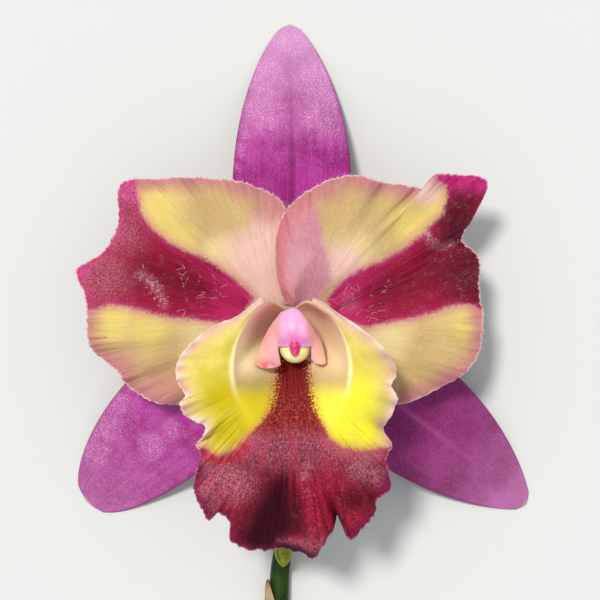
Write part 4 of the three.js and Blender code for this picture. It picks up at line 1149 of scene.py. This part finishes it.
CAP_CENTRE = (1.1, -3.4, 34.6)
CAP_RADII = (3.3, 3.5, 3.2)
CAP_SEAT = 0.35
POLLINIA_LEVEL = 33.3
POLLINIA_RADII = (0.45, 0.55, 0.85)
POLLINIA_SPACING = 0.72
POLLINIA_COUNT = 4
POLLINIA_GRID = (16, 20)
POLLINIA_VOXEL = 0.07
RECESS_GAP = 0.3
RECESS_DEPTH = 8
STRAP_DROP = 0.3
STRAP_RADII = (0.3, 0.25)


def cut_away(piece, points, faces):
    """Takes a closed body off a piece, for good."""
    tool_mesh = mesh_of("tool", points, faces, {})
    tool = in_scene("tool", tool_mesh)
    cut = piece.modifiers.new("cut", "BOOLEAN")
    cut.operation = "DIFFERENCE"
    cut.solver = "EXACT"
    cut.object = tool
    ready = piece.evaluated_get(bpy.context.evaluated_depsgraph_get())
    old, piece.data = piece.data, bpy.data.meshes.new_from_object(ready)
    piece.modifiers.clear()
    bpy.data.meshes.remove(old)
    bpy.data.objects.remove(tool)
    bpy.data.meshes.remove(tool_mesh)
    piece.data.shade_smooth()


def cap_finish():
    finish = Finish("cap_wax", roughness=0.3, coat=0.2, translucency=0.35)
    tone = finish.mix(finish.noise(1.1, 4).fade(0.35, 0.65), (0.97, 0.93, 0.74), (0.92, 0.86, 0.60))
    return finish.done(tone, finish.relief(finish.noise(0.35, 3), 0.06, 0.3))


def pollen_finish():
    finish = Finish("pollen_wax", roughness=0.28, coat=0.3)
    tone = finish.mix(finish.noise(0.4, 3).fade(0.35, 0.65), (0.93, 0.74, 0.20), (0.85, 0.60, 0.12))
    return finish.done(tone, finish.relief(finish.noise(0.2, 3), 0.04, 0.3))


strap_half = POLLINIA_SPACING * (POLLINIA_COUNT - 1) / 2
recess_half = (strap_half + POLLINIA_RADII[0] + RECESS_GAP, POLLINIA_RADII[1] + RECESS_GAP)
recess_top = POLLINIA_LEVEL + POLLINIA_RADII[2] + RECESS_GAP
recess_rings = np.array([
    [(POLLINIA_CENTRE[0] + i * recess_half[0], POLLINIA_CENTRE[1] + j * recess_half[1], z)
     for i, j in ((-1, -1), (1, -1), (1, 1), (-1, 1))]
    for z in (recess_top - RECESS_DEPTH, recess_top)])
cap_mesh = mesh_of("anther_cap", *ellipsoid(CAP_CENTRE, CAP_RADII), {})
cap = add_piece("anther_cap_shell", cap_mesh, cap_finish())
cut_away(cap, *ellipsoid(HOOD_CENTRE, np.array(HOOD_RADII) + CAP_SEAT))
cut_away(cap, mantle[0] - (0, 0, CAP_SEAT / 3), mantle[1])
cut_away(cap, *ellipsoid(TONGUE_CENTRE, np.array(TONGUE_RADII) + CAP_SEAT / 3))
cut_away(cap, *limb(recess_rings))
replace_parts(cap, "anther_cap")

strap_centre = (*POLLINIA_CENTRE, POLLINIA_LEVEL - STRAP_DROP)
pollen_bodies = [ellipsoid(strap_centre, (strap_half, *STRAP_RADII), *POLLINIA_GRID)]
for i in range(POLLINIA_COUNT):
    pollen_x = POLLINIA_CENTRE[0] + POLLINIA_SPACING * i - strap_half
    pollen_centre = (pollen_x, POLLINIA_CENTRE[1], POLLINIA_LEVEL)
    pollen_bodies.append(ellipsoid(pollen_centre, POLLINIA_RADII, *POLLINIA_GRID))
pollen_mesh = fused("pollinia", pollen_bodies, POLLINIA_VOXEL, 1)
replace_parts(add_piece("pollinia_cluster", pollen_mesh, pollen_finish()), "pollinia")

# ------------------------------------------------------------------ stem
# The six-ribbed ovary stands under the flower, bends over, and runs on as the fleshy green
# stalk, which lies on the table and ends in the clean cut of the scissors.

STEM_PATH = [
    (0, 1.5, 21.8), (0, 1.5, 17.5), (0, 0.2, 11.5), (0, -5, 7.2), (0, -14, 5.2), (-0.4, -28, 4.2),
    (-0.9, -40, 3.3), (-1.7, -50, 2.5), (-2.5, -57, 2.1), (-2.8, -66, 2.1)]
STEM_RADII = [3.5, 3.45, 2.9, 2.7, 2.5, 2.0, 1.75, 2.0, 2.2, 2.3]
STEM_TOP_FLARE = 0.5
STEM_RINGS = 220
STEM_SIDES = 72
OVARY_RIBS = 6
RIB_DEPTH = 0.06


def rings_round(centres, radii, sides, ribs=None):
    """Rings of points round a path, level across the flower, each with its radius and any ribs."""
    tangent = np.gradient(centres, axis=0)
    tangent /= np.linalg.norm(tangent, axis=1, keepdims=True)
    sideways = np.array([1.0, 0, 0]) - tangent * tangent[:, :1]
    sideways /= np.linalg.norm(sideways, axis=1, keepdims=True)
    upward = np.cross(sideways, tangent)
    turn = np.linspace(0, 2 * np.pi, sides, endpoint=False)
    round_radius = radii[:, None] * (1 if ribs is None else ribs(turn))
    side_part = (round_radius * np.cos(turn))[..., None] * sideways[:, None]
    up_part = (round_radius * np.sin(turn))[..., None] * upward[:, None]
    return centres[:, None] + side_part + up_part


def stem_finish():
    finish = Finish("stem_skin", roughness=0.5, gloss=0.15, translucency=0.08)
    along = finish.mark("along")
    mottle = finish.noise(3.2, 4)
    pith = finish.mix(finish.grain(0.55).fade(0.3, 0.15), (0.61, 0.65, 0.41), (0.35, 0.42, 0.18))
    # The dark green is partly the stalk's own colour and partly painted shade under the flower.
    tone = finish.layers(
        finish.mix(mottle.fade(0.35, 0.65), (0.06, 0.15, 0.02), (0.14, 0.24, 0.04)),
        (along.fade(0.35, 0.02), (0.39, 0.48, 0.23)),
        (along.fade(0.03, 0.005), (0.74, 0.62, 0.50)),
        (finish.noise(0.7, 3).fade(0.58, 0.7) * 0.4, (0.34, 0.25, 0.13)),
        (along.fade(0.9975, 0.999), pith))
    return finish.done(tone, finish.relief(mottle, 0.15, 0.3))


stem_t = np.linspace(0, 1, STEM_RINGS)
stem_radius = curve_through(np.array(STEM_RADII)[:, None], stem_t)[:, 0]
stem_radius = stem_radius + STEM_TOP_FLARE * bump(stem_t, 0, 0.012)
rib_share = RIB_DEPTH * (1 - smooth(0.6, 0.9, stem_t))[:, None]
stem_rings = rings_round(
    curve_through(STEM_PATH, stem_t), stem_radius, STEM_SIDES,
    lambda turn: 1 + rib_share * np.cos(OVARY_RIBS * turn))
stem_rings[..., 2] = np.maximum(stem_rings[..., 2], 0)
stem_mesh = mesh_of("stem", *limb(stem_rings), {"along": np.repeat(stem_t, STEM_SIDES)})
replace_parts(add_piece("stem_body", stem_mesh, stem_finish()), "stem")

# ------------------------------------------------------------------ bud
# A small flower bud that is still closed, on a short foot from the stalk just under the
# lip's front edge. Its skin is waxy yellow-green, and three sepals meet at its tip.

BUD_FOOT = np.array([-1.5, -47.6, 5.6])
BUD_TIP = np.array([-1.6, -53.9, 8.8])
BUD_RADIUS = 2.1
BUD_FOOT_SHARE = 0.42
BUD_TIP_SHARE = 0.12
BUD_RINGS = 60
BUD_SEAMS = 3
SEAM_AT = 0.4
SEAM_DEPTH = 0.05


def bud_finish():
    finish = Finish("bud_skin", roughness=0.42, gloss=0.2, coat=0.05, translucency=0.15)
    mottle = finish.noise(2.0, 4)
    tone = finish.layers(
        finish.mix(mottle.fade(0.35, 0.65), (0.66, 0.66, 0.15), (0.45, 0.50, 0.07)),
        (finish.mark("seam").fade(0.80, 1.0) * 0.6, (0.31, 0.40, 0.10)))
    return finish.done(tone, finish.relief(mottle, 0.1, 0.3))


bud_t = np.linspace(0, 1, BUD_RINGS)
bud_shares = [swell(bud_t ** 0.85) ** 0.58, BUD_FOOT_SHARE * (1 - bud_t), np.full(BUD_RINGS, BUD_TIP_SHARE)]
bud_turn = np.linspace(0, 2 * np.pi, BUD_RINGS, endpoint=False)
bud_seam = np.cos(BUD_SEAMS * bud_turn / 2 + SEAM_AT) ** 2
bud_rings = rings_round(
    BUD_FOOT + bud_t[:, None] * (BUD_TIP - BUD_FOOT), BUD_RADIUS * np.maximum.reduce(bud_shares), BUD_RINGS,
    lambda turn: 1 - SEAM_DEPTH * smooth(0.7, 1.0, bud_seam))
bud_mesh = mesh_of("closed_bud", *limb(bud_rings), {"seam": np.tile(bud_seam, BUD_RINGS)})
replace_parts(add_piece("closed_bud_body", bud_mesh, bud_finish()), "closed_bud")

# ------------------------------------------------------------------ bract
# The dry papery sheath that once wrapped the young flower stem. It hugs the stalk's left
# side beside the cut, and its torn point runs out towards the flower.

BRACT_THICKNESS = 0.5
BRACT_FROM_Y = -65.9
BRACT_TO_Y = -57.6
BRACT_MIDDLE = 153
BRACT_SPREAD = 55
BRACT_STANDOFF = 0.75
BRACT_PLEATS = 14
BRACT_PLEAT_HEIGHT = 0.08
BRACT_GRID = (70, 41)


def bract_finish():
    finish = Finish("dry_sheath", roughness=0.75)
    along, across = finish.mark("along"), finish.mark("across")
    fibres = finish.streaks(across, along, 60, 3)
    tone = finish.layers(
        finish.mix(fibres.fade(0.38, 0.65), (0.56, 0.45, 0.32), (0.76, 0.68, 0.54)),
        (along.fade(0.7, 1.0), (0.45, 0.32, 0.21)))
    return finish.done(tone, finish.relief(fibres, 0.2, 0.6))


bract_u = np.linspace(0, 1, BRACT_GRID[0])[:, None]
bract_v = np.linspace(-1, 1, BRACT_GRID[1])[None, :]
stalk_near, stalk_end = curve_through(STEM_PATH, np.array([0.85, 1.0]))
bract_y = BRACT_FROM_Y + (BRACT_TO_Y - BRACT_FROM_Y) * bract_u
stalk_share = (bract_y - stalk_end[1]) / (stalk_near[1] - stalk_end[1])
stalk_x = stalk_end[0] + (stalk_near[0] - stalk_end[0]) * stalk_share
bract_spread = BRACT_SPREAD * np.maximum(1 - bract_u ** 2, 0.04)
bract_angle = np.radians(BRACT_MIDDLE + bract_spread * bract_v)
bract_radius = STEM_RADII[-1] + BRACT_STANDOFF + BRACT_PLEAT_HEIGHT * np.cos(BRACT_PLEATS * bract_v)
bract_middle = np.stack([
    stalk_x + bract_radius * np.cos(bract_angle),
    bract_y + 0 * bract_v,
    stalk_end[2] + bract_radius * np.sin(bract_angle)], -1)
bract_mesh = blade("bract", bract_middle, BRACT_THICKNESS, {"along": bract_u, "across": bract_v})
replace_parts(add_piece("bract_sheath", bract_mesh, bract_finish()), "bract")
